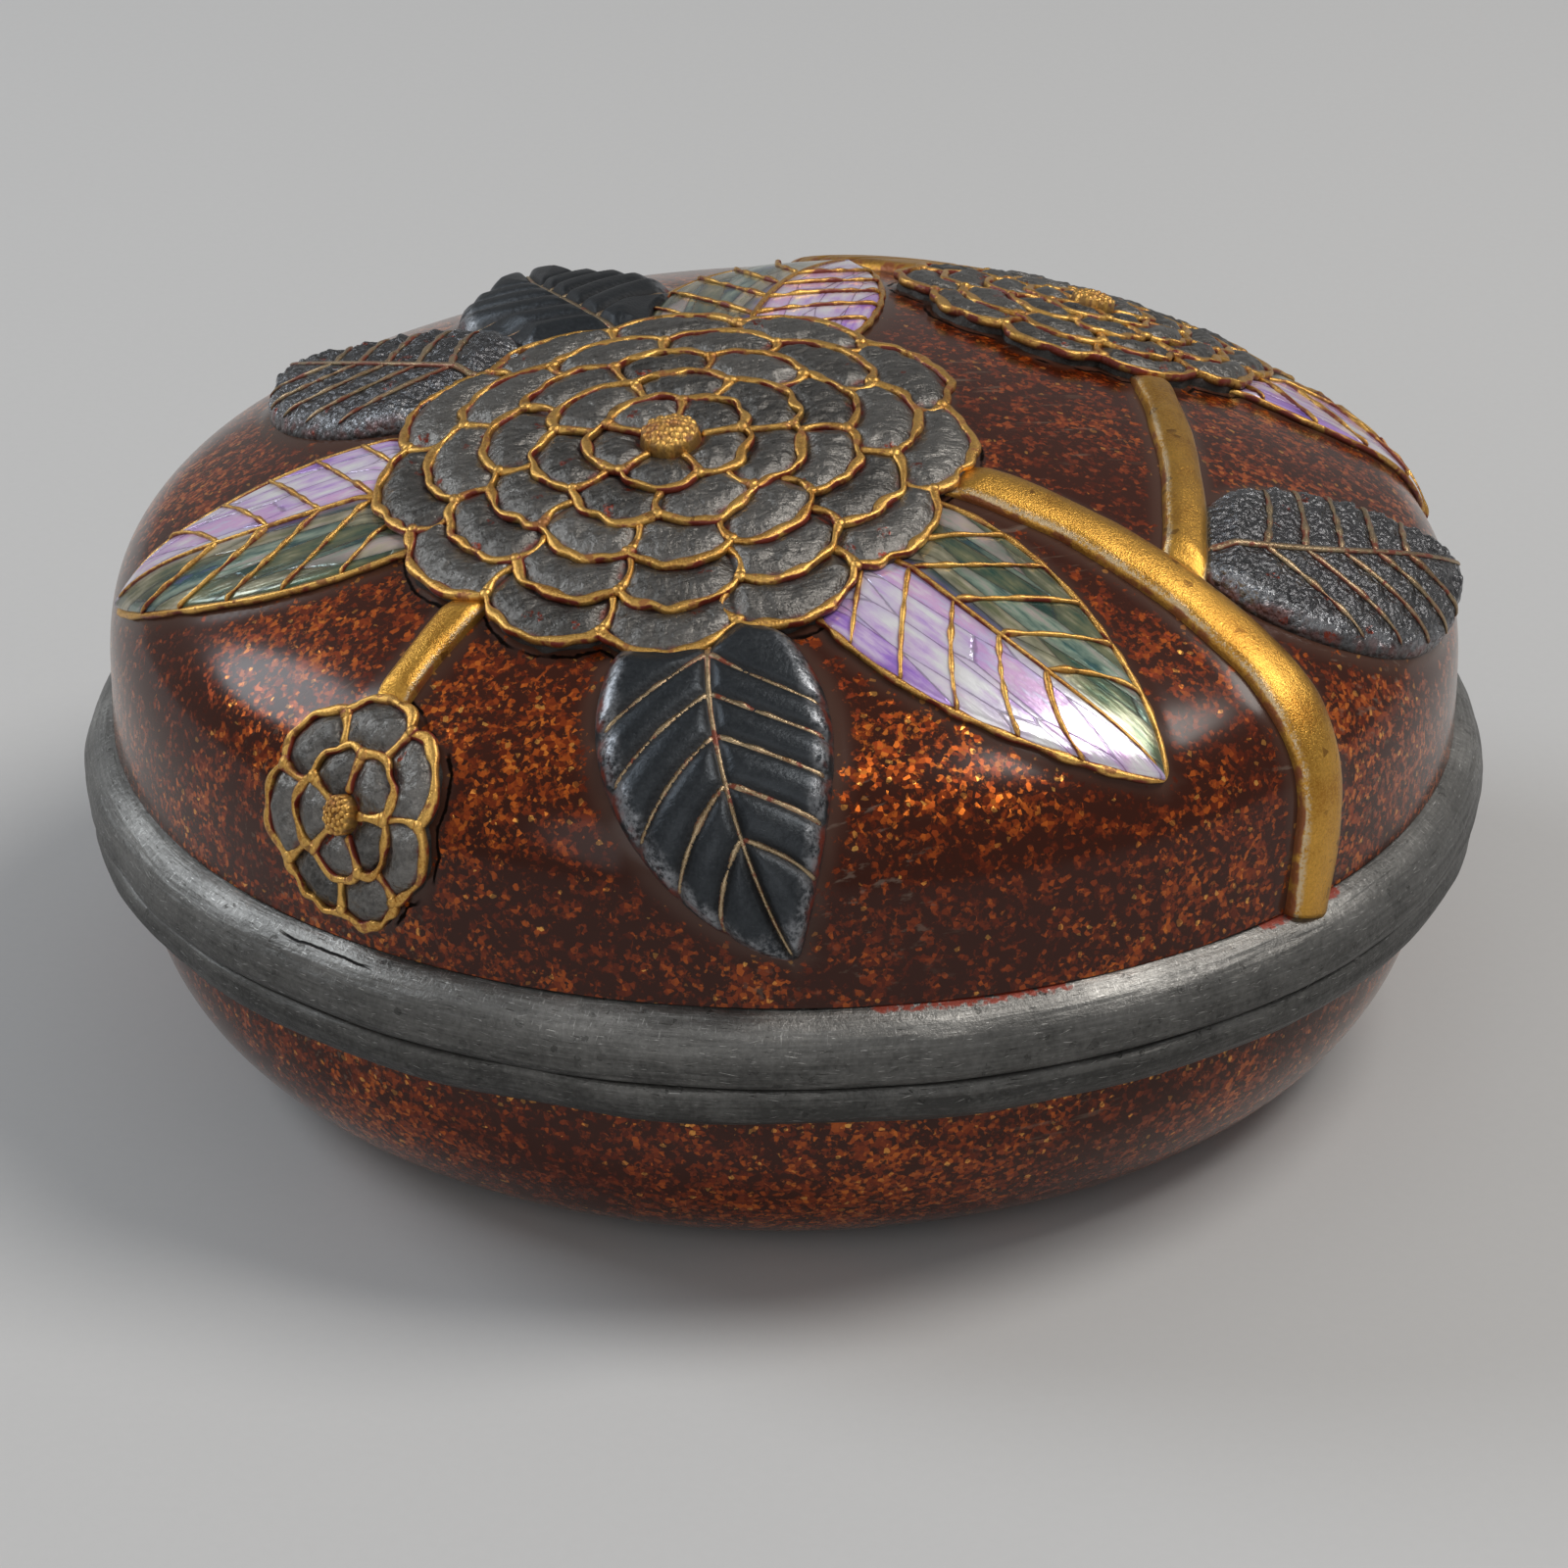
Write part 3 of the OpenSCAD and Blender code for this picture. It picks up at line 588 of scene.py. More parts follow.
def hammeredPewter(name, dark, pale, stain, gloss, tooth, lump, grit, drawn):
    look = pewterLook
    material, root, at = newFinish(name)
    level, edge, dirt, rubbed = readMarks(root, "level", "edge", "dirt", "rubbed")
    blotch, grain = at.noise(1.3, 4, 0.65), at.noise(0.24, 4, 0.65)
    lumps, pits = at.noise(lump), at.flecks(0.33)[1].step(0.0, 0.3)
    streak = at.stretch(5.0, 0.6, 15.0).noise(0.4, 4, 0.65) * drawn
    tone = level * 0.35 + blotch * 0.45 + grain * 0.5 + streak - 0.22 - 0.5 * drawn
    # the rims are painted paler: rubbed wear and a painted highlight
    bare = (rubbed * (at.noise(1.4, 4, 0.75) + grain * 0.9 - 0.76) * 4.0).step(0.0, 1.0)
    rust = (edge * (at.noise(0.8, 3) - 0.40) * 5.0).step(0.0, 1.0) * stain
    speck = (at.flecks(0.55)[1] < 0.022) * grain.step(0.45, 0.58) * min(1.0, 5 * grit)
    colour = tone.ramp((0.1, dark), (0.9, pale))
    colour = colour.coats(look, bare=bare * 0.75, rust=rust, speck=speck, dirt=dirt * 0.85)
    beads = 1.0 - at.broken(0.36, "Distance")
    height = grain * 0.7 + pits * 0.3 + lumps * (lump / 0.6 * 0.8) + beads * grit + streak * 0.8
    shade(root, Base_Color=colour, Metallic=0.85 - rust * 0.6 - dirt * 0.5,
          Roughness=gloss + grain * 0.24 + dirt * 0.2 - bare * 0.08, Normal=height.bump(tooth))
    return material


# Stems, lines and the gold leaf: sprinkled gold over red, with pinholes, paler where it is rubbed
# and red where it is gone
goldLook = dict(lift=1.25, hole=(0.12, 0.040, 0.012), pale=(0.74, 0.60, 0.40), red=(0.20, 0.022, 0.008),
                dirt=(0.05, 0.018, 0.008), tooth=0.05)
golds = dict(
    lineGold=dict(body=(0.74, 0.43, 0.115), dark=(0.50, 0.22, 0.045), stain=1.0, loss=0.7),
    stemGold=dict(body=(0.64, 0.34, 0.062), dark=(0.47, 0.21, 0.031), stain=0.8, loss=0.0),
    veinGold=dict(body=(0.44, 0.33, 0.20), dark=(0.24, 0.16, 0.08), stain=0.9, loss=0.9),
)


def powderGold(name, body, dark, stain, loss):
    look = goldLook
    material, root, at = newFinish(name)
    edge, dirt, rubbed = readMarks(root, "edge", "dirt", "rubbed")
    blotch, grain, powder = at.noise(2.6, 3), at.noise(0.10, 3, 0.7), at.noise(0.20, 3, 0.7)
    hole = at.flecks(0.42)[1].step(0.018, 0.006)
    tone = blotch * 0.4 + grain * 0.3 + powder * 0.3
    colour = tone.ramp((0.38, dark), (0.50, body), (0.64, tuple(look["lift"] * part for part in body)))
    pale = (rubbed * (at.noise(0.16, 3, 0.7) + blotch * 0.7 - 0.72) * 7.0).step(0.0, 1.0)
    gone = (edge * (at.noise(1.5, 3, 0.6) - 0.44) * 9.0).step(0.0, 1.0) * stain
    gone = root.maths("MAXIMUM", gone, at.noise(1.3, 4, 0.65).step(0.57, 0.64) * loss)
    colour = colour.coats(look, hole=hole * 0.6, pale=pale * 0.75, red=gone, dirt=dirt * 0.8)
    relief = grain * 0.4 + powder * 0.5 + blotch * 0.3 + pale * 0.15
    shade(root, Base_Color=colour, Metallic=0.92 - gone * 0.75 - dirt * 0.4,
          Roughness=0.22 + grain * 0.2 + dirt * 0.15, Normal=relief.bump(look["tooth"]))
    return material


# Shell: long slips of nacre, pale with violet, pink and blue on one side, cream to dark green on the other
shellLook = dict(
    pale=((0.02, (0.16, 0.14, 0.56)), (0.14, (0.48, 0.25, 0.80)), (0.26, (0.80, 0.62, 0.90)),
          (0.38, (0.92, 0.91, 0.93)), (0.62, (0.93, 0.88, 0.92)), (0.74, (0.82, 0.50, 0.82)),
          (0.86, (0.68, 0.80, 0.95)), (0.97, (0.32, 0.60, 0.90))),
    deep=((0.04, (0.016, 0.014, 0.013)), (0.17, (0.012, 0.070, 0.048)), (0.32, (0.20, 0.20, 0.10)),
          (0.46, (0.56, 0.50, 0.34)), (0.58, (0.54, 0.43, 0.40)), (0.70, (0.30, 0.38, 0.29)),
          (0.83, (0.025, 0.085, 0.080)), (0.96, (0.12, 0.09, 0.32))),
    paleRim=(0.46, 0.22, 0.72), deepRim=(0.05, 0.060, 0.045), joint=(0.04, 0.035, 0.045), tooth=0.10,
)


def inlaidShell(name):
    look = shellLook
    material, root, at = newFinish(name)
    level, side = readMarks(root, "level", "side")
    uv = uvMap(root)
    slips = uv.stretch(9.0, 1.3, 3.0)
    pick, tint = slips.flecks(1 / mm)[1:]
    apart = slips.broken(1 / mm, "Distance", "DISTANCE_TO_EDGE")
    joint = (apart + at.noise(0.5, 2) * 0.05).step(0.028, 0.05)
    rimmed = (apart + at.noise(0.9, 2) * 0.25).step(0.36, 0.10)
    streak, fold = uv.streaks(5.0, 0.30, 0, 4, 0.6), uv.streaks(2.6, 0.9, 0, 4, 0.6)
    wash = pick * 0.62 + streak * 0.28 + fold * 0.55 + level * 0.10 - 0.30
    pale = (rimmed * 0.38).mix(wash.ramp(*look["pale"]), look["paleRim"])
    deep = (rimmed * 0.5).mix(wash.ramp(*look["deep"]), look["deepRim"])
    body = (joint * 0.4 + 0.6).mix(look["joint"], side.mix(deep, pale))
    height = fold * 0.5 + streak * 0.25 + joint * 0.3 + tint * 0.5
    shade(root, Base_Color=body, Metallic=0.35, Roughness=0.12 + fold * 0.16,
          Normal=height.bump(look["tooth"]), Coat_Weight=0.4, Coat_Roughness=0.08,
          Thin_Film_Thickness=420.0, Thin_Film_IOR=1.6)
    return material


finishes = dict(bandPewter=pewterStrip("bandPewter"), nacre=inlaidShell("nacre"))
for makeFinish, looks in ((flakedLacquer, lacquers), (hammeredPewter, pewters), (powderGold, golds)):
    for finishName, finishLook in looks.items():
        finishes[finishName] = makeFinish(finishName, **finishLook)
print(len(finishes), "finishes made")


# Meshes: every piece is one or more grids of points, joined and closed

def patch(points, uv, finish=0, **marks):
    return dict(points=points, uv=uv, finish=finish, marks=marks)


def addPiece(name, patches, finishNames, body, node, crease=None):
    # grids are set side by side in one mesh; equal points are merged and faces turned outwards
    points = np.concatenate([p["points"].reshape(-1, 3) for p in patches]) * mm
    uvs = np.concatenate([p["uv"].reshape(-1, 2) for p in patches])
    quads, finishOf, start = [], [], 0
    for p in patches:
        index = np.arange(start, start + p["points"][..., 0].size).reshape(p["points"].shape[:2])
        corners = [index[:-1, :-1], index[:-1, 1:], index[1:, 1:], index[1:, :-1]]
        quads.append(np.stack(corners, -1).reshape(-1, 4))
        finishOf.append(np.full(len(quads[-1]), p["finish"]))
        start += index.size
    quads, finishOf = np.concatenate(quads), np.concatenate(finishOf)
    mesh = bpy.data.meshes.new(name)
    mesh.vertices.add(len(points))
    mesh.vertices.foreach_set("co", points.ravel())
    mesh.loops.add(quads.size)
    mesh.loops.foreach_set("vertex_index", quads.ravel())
    mesh.polygons.add(len(quads))
    mesh.polygons.foreach_set("loop_start", np.arange(0, quads.size, 4))
    mesh.polygons.foreach_set("material_index", finishOf)
    mesh.update(calc_edges=True)
    mesh.uv_layers.new(name="uv").data.foreach_set("uv", uvs[quads.ravel()].astype(np.float32).ravel())
    for key in sorted({key for p in patches for key in p["marks"]}):
        flat = [np.broadcast_to(p["marks"].get(key, 0.0), p["points"].shape[:2]).ravel() for p in patches]
        values = np.concatenate(flat).astype(np.float32)
        mesh.attributes.new(key, "FLOAT", "POINT").data.foreach_set("value", values)
    built = bmesh.new()
    built.from_mesh(mesh)
    bmesh.ops.remove_doubles(built, verts=built.verts, dist=1e-6)
    bmesh.ops.recalc_face_normals(built, faces=built.faces)
    built.to_mesh(mesh)
    built.free()
    mesh.polygons.foreach_set("use_smooth", np.ones(len(mesh.polygons), dtype=bool))
    if crease:
        mesh.set_sharp_from_angle(angle=np.radians(crease))
    for finishName in finishNames:
        mesh.materials.append(finishes[finishName])
    piece = bpy.data.objects.new(name, mesh)
    bpy.context.scene.collection.objects.link(piece)
    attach(piece, body)
    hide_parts(node)
    print(name, len(mesh.polygons), "faces")


def outline(*corners):
    # a profile of radius and height through corners, each rounded by its third number
    spots = np.array([c[:2] for c in corners], dtype=float)
    share = np.linspace(0, 1, 7)[:, None]
    line = [spots[:1]]
    for i in range(1, len(corners) - 1):
        here, fillet = spots[i], corners[i][2] if len(corners[i]) > 2 else 0.0
        if not fillet:
            line.append(here[None])
            continue
        before, after = spots[i - 1] - here, spots[i + 1] - here
        before, after = before / np.hypot(*before), after / np.hypot(*after)
        line.append((here + fillet * before) * (1 - share)**2 + 2 * here * share * (1 - share)
                    + (here + fillet * after) * share**2)
    return np.concatenate(line + [spots[-1:]])


def arcRow(centre, radius, start, end, count):
    # points along an arc of a profile, from one angle to another in degrees
    angle = np.radians(np.linspace(start, end, count))
    return [(centre[0] + radius * np.cos(a), centre[1] + radius * np.sin(a)) for a in angle]


def filled(profile, step):
    # more points along the long stretches of a profile
    gaps = np.hypot(*np.diff(profile, axis=0).T)
    run = np.concatenate([[0], np.cumsum(gaps)])
    at = np.unique(np.concatenate([run, np.arange(0, run[-1], step)]))
    return np.stack([np.interp(at, run, profile[:, 0]), np.interp(at, run, profile[:, 1])], -1), at


def turned(profile, columns, step=0.8):
    # a profile of radius and height carried once round the Z axis; UV is millimetres round and along
    profile, run = filled(profile, step)
    angle = around(columns)
    r, z = profile[:, :1], profile[:, 1:]
    points = np.stack([*polar(r, angle), z + 0 * angle], -1)
    return points, pair(angle * wallR, run[:, None])


# Lid: the dome outside, then its rebate, bore and hollow inside
def lidDome():
    f = lidForm
    s = np.linspace(0, faceLen, f["rows"])[:, None]
    angle = around(f["columns"])
    x, y = polar(s, angle)
    held = smooth(faceLen, faceLen - f["edgeHold"], s)  # the edge stays put
    waver = f["waver"] * ripple(onFace(x, y, 0 * x), f["waverWave"], f["waverSeed"])
    waver = waver * smooth(0, f["edgeHold"], s) * held
    near = smooth(f["halo"], 0, nearest(x, y, stems.values(), leaves.values()))
    points = onFace(x, y, waver + f["bed"] * near**2 * held)  # the lacquer rises where it beds the inlay
    rift = smooth(f["riftReach"], 0, nearest(x, y))
    inner, seat, lean = wallR - f["wall"], wallR - f["bandSeat"], 90 - np.degrees(crownLean)
    shoulder = arcRow((shoulderX, shoulderZ), shoulderR - f["wall"], 0, lean, 16)
    crown = arcRow((0, crownMidZ), crownR - f["wall"], lean, 90, 24)
    inside = outline((wallR, bandTopZ), (seat, bandTopZ), (seat, seamZ), (inner, seamZ, f["mouthEase"]),
                     *shoulder, *crown)
    inside[-1, 0] = 0  # the hollow closes on the axis
    patches = [patch(points, pair(angle * wallR, s), near=near, rift=rift),
               patch(*turned(inside, f["columns"], f["insideStep"]), 1)]
    coats = ["flakedLacquer", "blackLacquer"]
    addPiece("lidDome", patches, coats, "lid", "lid_shell", f["crease"])


lidDome()

# Bowl: outside from the middle of the foot to the rim, then the seat and the hollow
bowlForm = dict(
    wallR=35.2, curveR=10.5, floor=3.2, footR=24.7, footW=4.5, footEase=0.3, recess=0.8, recessEase=0.5,
    bandH=2.5, bandSeat=0.7, lipR=33.35, lipBore=31.95, lipSeat=10.3, lipEase=0.5,
    glintsFrom=1.6, glintsTo=0.2, columns=384, lipColumns=288, wallStep=0.5, crease=40,
)


def baseBowl():
    f = bowlForm
    bandLow, seat, footIn = seamZ - f["bandH"], f["wallR"] - f["bandSeat"], f["footR"] - f["footW"]
    under = outline((0, f["recess"]), (footIn, f["recess"], f["recessEase"]), (footIn, 0, f["footEase"]),
                    (f["footR"], 0))
    curve = arcRow((f["wallR"] - f["curveR"], f["curveR"]), f["curveR"], -90, 0, 40)
    wall, wallUv = turned(outline(*curve, (f["wallR"], bandLow)), f["columns"], f["wallStep"])
    rim = smooth(f["glintsFrom"], f["glintsTo"], bandLow - wall[..., 2])  # more glints under the band
    hollow = f["curveR"] - f["floor"]
    inner = arcRow((f["lipBore"] - hollow, f["curveR"]), hollow, 0, -90, 24)
    inside = outline((f["wallR"], bandLow), (seat, bandLow), (seat, seamZ), (f["lipR"], seamZ),
                     (f["lipR"], f["lipSeat"]), (f["lipBore"], f["lipSeat"]), *inner, (0, f["floor"]))
    patches = [patch(*turned(under, f["columns"]), 1), patch(wall, wallUv, rim=rim),
               patch(*turned(inside, f["columns"]), 1)]
    coats = ["denseLacquer", "blackLacquer"]
    addPiece("baseBowl", patches, coats, "base", "base_bowl", f["crease"])


def seatLip():
    # a ring with rounded top edges
    f = bowlForm
    top, bottom = boxOf("seat_lip")[1][2], f["lipSeat"]
    profile = outline((f["lipR"], bottom), (f["lipR"], top, f["lipEase"]), (f["lipBore"], top, f["lipEase"]),
                      (f["lipBore"], bottom), (f["lipR"], bottom))
    patches = [patch(*turned(profile, f["lipColumns"]))]
    addPiece("seatLip", patches, ["blackLacquer"], "base", "seat_lip", f["crease"])


baseBowl()
seatLip()

# Rim bands: strips with rounded edges, wavering a little by hand, with drawn streaks along them
bandForm = dict(
    columns=720, step=0.11, hold=0.8, ringR=36, waver=0.05, waverWave=11, rise=0.04, riseWave=13, drawn=8,
    streaks=((0.016, 0.8), (0.010, 0.4)), rubWave=9, rubVary=0.15, shadeTop=(0.5, 0.05), shadeFoot=(0.7, 0.15),
    traceReach=(1.5, 0.7), uvR=37, crease=50,
)
# rubbed is the span up a band's face that is painted paler, rubbed wear and a painted highlight; the base
# band is also painted darker all over, a painted shade
bands = dict(
    lidBand=dict(node="lid_rim_band", body="lid", back=34.9, upper=2.4, lower=0.8, rubbed=(0.25, 0.95),
                 paintedShade=0.0, seed=61, splits=((227, 237),),
                 traces=((-84, -66), (-50, -39), (20, 31), (118, 127))),
    baseBand=dict(node="base_rim_band", body="base", back=34.5, upper=0.55, lower=1.6, rubbed=(0.60, 1.10),
                  paintedShade=0.28, seed=67, splits=(), traces=()),
)


def within(angle, spans):
    # 1 for azimuths inside spans of degrees, with soft ends
    found = 0 * angle
    for low, high in spans:
        half = (high - low) / 2
        off = np.abs((np.degrees(angle) - (low + high) / 2 + 180) % 360 - 180)
        found = found + smooth(half, half * 0.8, off)
    return found


def rimBand(name, band):
    # a face with two rounded edges carried round Z: its radius and height waver with the azimuth
    f, seed = bandForm, band["seed"]
    upper, lower = band["upper"], band["lower"]
    (_, _, low), (outer, _, high) = boxOf(band["node"])
    face = arcRow((outer - upper, high - upper), upper, 90, 0, 30)
    face = face + arcRow((outer - lower, low + lower), lower, 0, -90, 24)
    profile, run = filled(outline(*face), f["step"])
    angle = around(f["columns"])
    ring = pair(*polar(f["ringR"], angle))
    r, z, run = profile[:, :1], profile[:, 1:], run[:, None]
    end = run[-1, 0]
    held = smooth(0, f["hold"], run) * smooth(end, end - f["hold"], run)  # the edges stay put
    waver = f["waver"] * ripple(ring, f["waverWave"], seed) - f["waver"]
    wrapped = np.stack(np.broadcast_arrays(ring[:, 0] / f["drawn"], ring[:, 1] / f["drawn"], run), -1)
    streak = ripples(wrapped, f["streaks"], seed + 3)
    share = (z - low) / (high - low) + 0 * angle
    r = r + (waver + streak) * held
    z = z + f["rise"] * ripple(ring, f["riseWave"], seed + 2) * held
    back = np.array([[band["back"], low], [band["back"], high]])
    rows = np.concatenate([np.stack([r, z], -1), np.repeat(back[:, None], len(angle), 1)])
    rows = np.concatenate([rows, rows[:1]])
    points = np.stack([*polar(rows[..., 0], angle), rows[..., 1]], -1)
    reach = np.concatenate([run[:, 0], end + np.arange(1, 4)])[:, None]  # on over the three rows at the back
    share = np.concatenate([share, np.zeros((3, len(angle)))])
    rub = 1 - f["rubVary"] + f["rubVary"] * ripple(ring, f["rubWave"], seed + 5)
    # the upper face is painted paler, rubbed wear and a painted highlight, and the base band is painted
    # darker all over, a painted shade
    worn = smooth(*band["rubbed"], share) * rub - band["paintedShade"]
    # both edges are painted darker: painted shade in the seam and where the band meets the lacquer
    dirt = np.clip(smooth(*f["shadeTop"], reach) + smooth(*f["shadeFoot"], end - reach), 0, 1)
    trace = within(angle, band["traces"]) * smooth(*f["traceReach"], reach)
    patches = [patch(points, pair(angle * f["uvR"], reach), worn=worn, dirt=dirt, trace=trace,
                     split=within(angle, band["splits"]))]
    addPiece(name, patches, ["bandPewter"], band["body"], band["node"], f["crease"])


for bandName, bandData in bands.items():
    rimBand(bandName, bandData)
print("box turned")

# Blooms: shingled petals, each a beaten cushion that stands a little above the gold lines round it
petalForm = dict(
    top=0.86, lift=0.40, rim=0.14, rimFrom=0.45, groove=0.36, shoulder=(-0.12, 0.85), crown=0.14,
    crownReach=(0.2, 1.5), level=0.14, tilt=0.5, beats=((0.030, 1.5), (0.012, 0.6)), dent=0.05,
    dentSize=1.1, dentReach=(0.34, 0.1), wornReach=0.5, dirtReach=0.22, fringe=0.22, fringeVary=0.10,
    fringeWave=1.6, rows=14,
)


def petalTop(bloom, r, v):
    # the height that petals are beaten to, higher towards the heart and each petal's outer edge
    f = petalForm
    return f["top"] + f["lift"] * (1 - r / bloom["r"]) + f["rim"] * (v - f["rimFrom"])


def petalHeight(bloom, ring, v, r, angle):
    # height of a ring of petals at a share v from its inner to its outer edge, and the marks on it
    f, seed, count = petalForm, bloom["seed"], bloom["rings"][ring]
    step = 360 / count
    off = (angle - ring * bloomForm["ringTurn"]) / step
    k = np.round(off)
    aside = (0.5 - np.abs(off - k)) * np.radians(step) * r
    outer, inner = ringEdge(bloom, ring, angle), ringEdge(bloom, ring + 1, angle)
    edge = np.minimum(np.minimum(outer - r, r - inner), aside)
    which = np.mod(k, count)
    level = scatter(which, ring, seed)
    tilt = (scatter(which, ring, seed + 1) - 0.5) * f["tilt"]
    top = petalTop(bloom, r, v) + f["level"] * (level - 0.5) + tilt * (off - k)
    swell = smooth(*f["shoulder"], edge)
    x, y = bloomPoint(bloom, angle, r)
    beaten = ripples(pair(x, y), f["beats"], seed + 2)
    beaten = beaten - f["dent"] * smooth(*f["dentReach"], cells(x, y, f["dentSize"], seed + 4)[0])
    h = top - f["groove"] * (1 - swell) + f["crown"] * smooth(*f["crownReach"], edge) + beaten * swell
    return h, level, 1 - smooth(0, f["wornReach"], edge), 1 - smooth(0, f["dirtReach"], edge)


def bloomPetals(name, bloom):
    # rings of petals on one polar grid, from a skirt sunk in the lacquer to the heart
    f = petalForm
    angle = np.linspace(0, 360, bloom["columns"] + 1)
    edge, zero = ringEdge(bloom, 0, angle), 0 * angle
    border = pair(*bloomPoint(bloom, angle, bloom["r"]))
    fringe = f["fringe"] + f["fringeVary"] * ripple(border, f["fringeWave"], bloom["seed"] + 6)
    skirt = ((-edge, -0.3), (-0.5, -0.3), (fringe, -0.25), (fringe, -0.05), (fringe * 0.55, 0.12))
    rows = [(edge + grow, zero + h, zero, zero, zero + 1) for grow, h in skirt]
    for ring in range(len(bloom["rings"])):
        outer, inner = ringEdge(bloom, ring, angle), ringEdge(bloom, ring + 1, angle)
        for v in np.linspace(1, 0, f["rows"])[0 if ring == 0 else 1:]:
            r = inner + (outer - inner) * v
            rows.append((r, *petalHeight(bloom, ring, v, r, angle)))
    rows.append((zero, zero + f["top"] + f["lift"] - f["groove"], zero, zero, zero + 1))
    r, h, level, near, dirt = np.array(rows).transpose(1, 0, 2)
    x, y = bloomPoint(bloom, angle, r)
    patches = [patch(onFace(x, y, h), pair(x, y), level=level, edge=near, dirt=dirt)]
    addPiece(name + "BloomPetals", patches, ["petalPewter"], "lid", name + "_bloom_petals")


# Cords: gold lines and veins
cordForm = dict(sideFlat=0.8, topFlat=0.6, flank=(0.95, 0.45), under=(0.2, -0.3), uvStep=0.1)


def cordPatch(x, y, h, wide, high, sides=12):
    # a flattened ellipse carried along a path of the face; its half width and half height vary along it,
    # and it is marked along its flanks and underneath
    f = cordForm
    dx, dy = np.gradient(x), np.gradient(y)
    run = np.maximum(np.hypot(dx, dy), 1e-9)
    swing = around(sides)
    side, up = flattened(np.cos(swing), f["sideFlat"]), flattened(np.sin(swing), f["topFlat"])
    px = x[:, None] - (dy / run * wide)[:, None] * side
    py = y[:, None] + (dx / run * wide)[:, None] * side
    ph = h[:, None] + high[:, None] * up
    along = np.concatenate([[0], np.cumsum(np.hypot(np.diff(x), np.diff(y)))])
    uv = pair(along[:, None], np.arange(sides + 1) * f["uvStep"])
    rise = np.sin(swing)
    return patch(onFace(px, py, ph), uv, edge=smooth(*f["flank"], rise), dirt=smooth(*f["under"], rise))


lineForm = dict(
    width=0.23, height=0.26, drop=0.28, uneven=0.32, unevenWave=2.2, limits=(0.6, 1.5), wander=0.09,
    wanderWave=2.0, slim=0.85, flare=1.1, sway=6, sides=8, blob=0.34, blobHeight=0.26, blobDrop=0.20,
)


def bloomLines(name, bloom):
    # a gold line round every ring, one down each side of a petal, and a drop where they meet
    f, seed = lineForm, bloom["seed"]
    patches = []
    angle = np.linspace(0, 360, bloom["columns"] + 1)
    for ring in range(len(bloom["rings"])):
        r = ringEdge(bloom, ring, angle)
        flat = pair(*bloomPoint(bloom, angle, r))
        uneven = 1 + f["uneven"] * ripple(flat, f["unevenWave"], seed + 8)
        wide = f["width"] * np.clip(uneven, *f["limits"])
        x, y = bloomPoint(bloom, angle, r + f["wander"] * ripple(flat, f["wanderWave"], seed + 9))
        patches.append(cordPatch(x, y, petalTop(bloom, r, 0.95) - f["drop"], wide, 0 * x + f["height"]))
    v, across = np.linspace(0, 1, 14), np.linspace(-1, 1, 9)
    closed, ball = rounded(2 * v - 1, 8), rounded(across)
    for ring, count in enumerate(bloom["rings"]):
        step = 360 / count
        for k in range(count):
            side = np.array([ring * bloomForm["ringTurn"] + (k + 0.5) * step])
            inner, outer = ringEdge(bloom, ring + 1, side)[0], ringEdge(bloom, ring, side)[0]
            r = inner + (outer - inner) * v
            bent = side + f["sway"] * np.sin(v * np.pi) * (scatter(k, ring, seed + 10) - 0.5)
            x, y = bloomPoint(bloom, bent, r)
            top = petalTop(bloom, r, v)
            spread = np.exp(-((outer - r) / 0.55)**2) + 0.6 * np.exp(-((r - inner) / 0.4)**2)
            wide = 0.72 + f["flare"] * spread + 0.2 * scatter(k, ring, 7)
            wide = f["width"] * f["slim"] * wide * closed
            patches.append(cordPatch(x, y, top - f["drop"], wide, f["height"] * closed, f["sides"]))
            x, y = bloomPoint(bloom, side, outer + across * f["blob"])
            size = f["blob"] * (0.8 + 0.5 * scatter(k, ring, seed + 12))
            low = 0 * x + top[-1] - f["blobDrop"]
            patches.append(cordPatch(x, y, low, size * ball, f["blobHeight"] * ball, f["sides"]))
    addPiece(name + "BloomLines", patches, ["lineGold"], "lid", name + "_bloom_outline")


heartForm = dict(grains=37, goldenAngle=137.508, grain=0.155, bead=0.16, reach=1.12, cap=1.30, dome=0.40,
                 fall=0.9, foot=0.2, rows=34, columns=144)


def bloomHeart(name, bloom):
    # a low cap with a spiral of grains on it
    f, size = heartForm, bloom["heart"]
    seeds = np.arange(1, f["grains"] + 1)
    gx, gy = polar(size * np.sqrt(seeds / (f["grains"] + 1)), seeds * np.radians(f["goldenAngle"]))
    share = np.linspace(0, 1, f["rows"])[:, None]
    angle = around(f["columns"])
    x, y = polar(size * f["reach"] * share, angle)
    apart = np.hypot(x[..., None] - gx, y[..., None] - gy).min(-1) / (size * f["grain"])
    h = f["cap"] + f["dome"] * (1 - share**2) - f["fall"] * smooth(0.85, 1.0, share)
    h = h + f["bead"] * rounded(apart) * smooth(1.0, 0.9, share)
    zero = 0 * angle[None]
    h = np.concatenate([h, zero + f["foot"], zero + f["foot"]])
    x, y = (np.concatenate([line, line[-1:], zero]) for line in (x, y))
    dirt = np.concatenate([smooth(0.7, 1.2, apart), zero + 1, zero + 1])
    points = onFace(bloom["at"][0] + x, bloom["at"][1] + y, h)
    patches = [patch(points, pair(x, y), edge=0.3, dirt=0.8 * dirt)]
    addPiece(name + "BloomHeart", patches, ["lineGold"], "lid", name + "_bloom_heart")


for bloomName, bloomData in blooms.items():
    bloomPetals(bloomName, bloomData)
    bloomLines(bloomName, bloomData)
    bloomHeart(bloomName, bloomData)
print("blooms beaten")

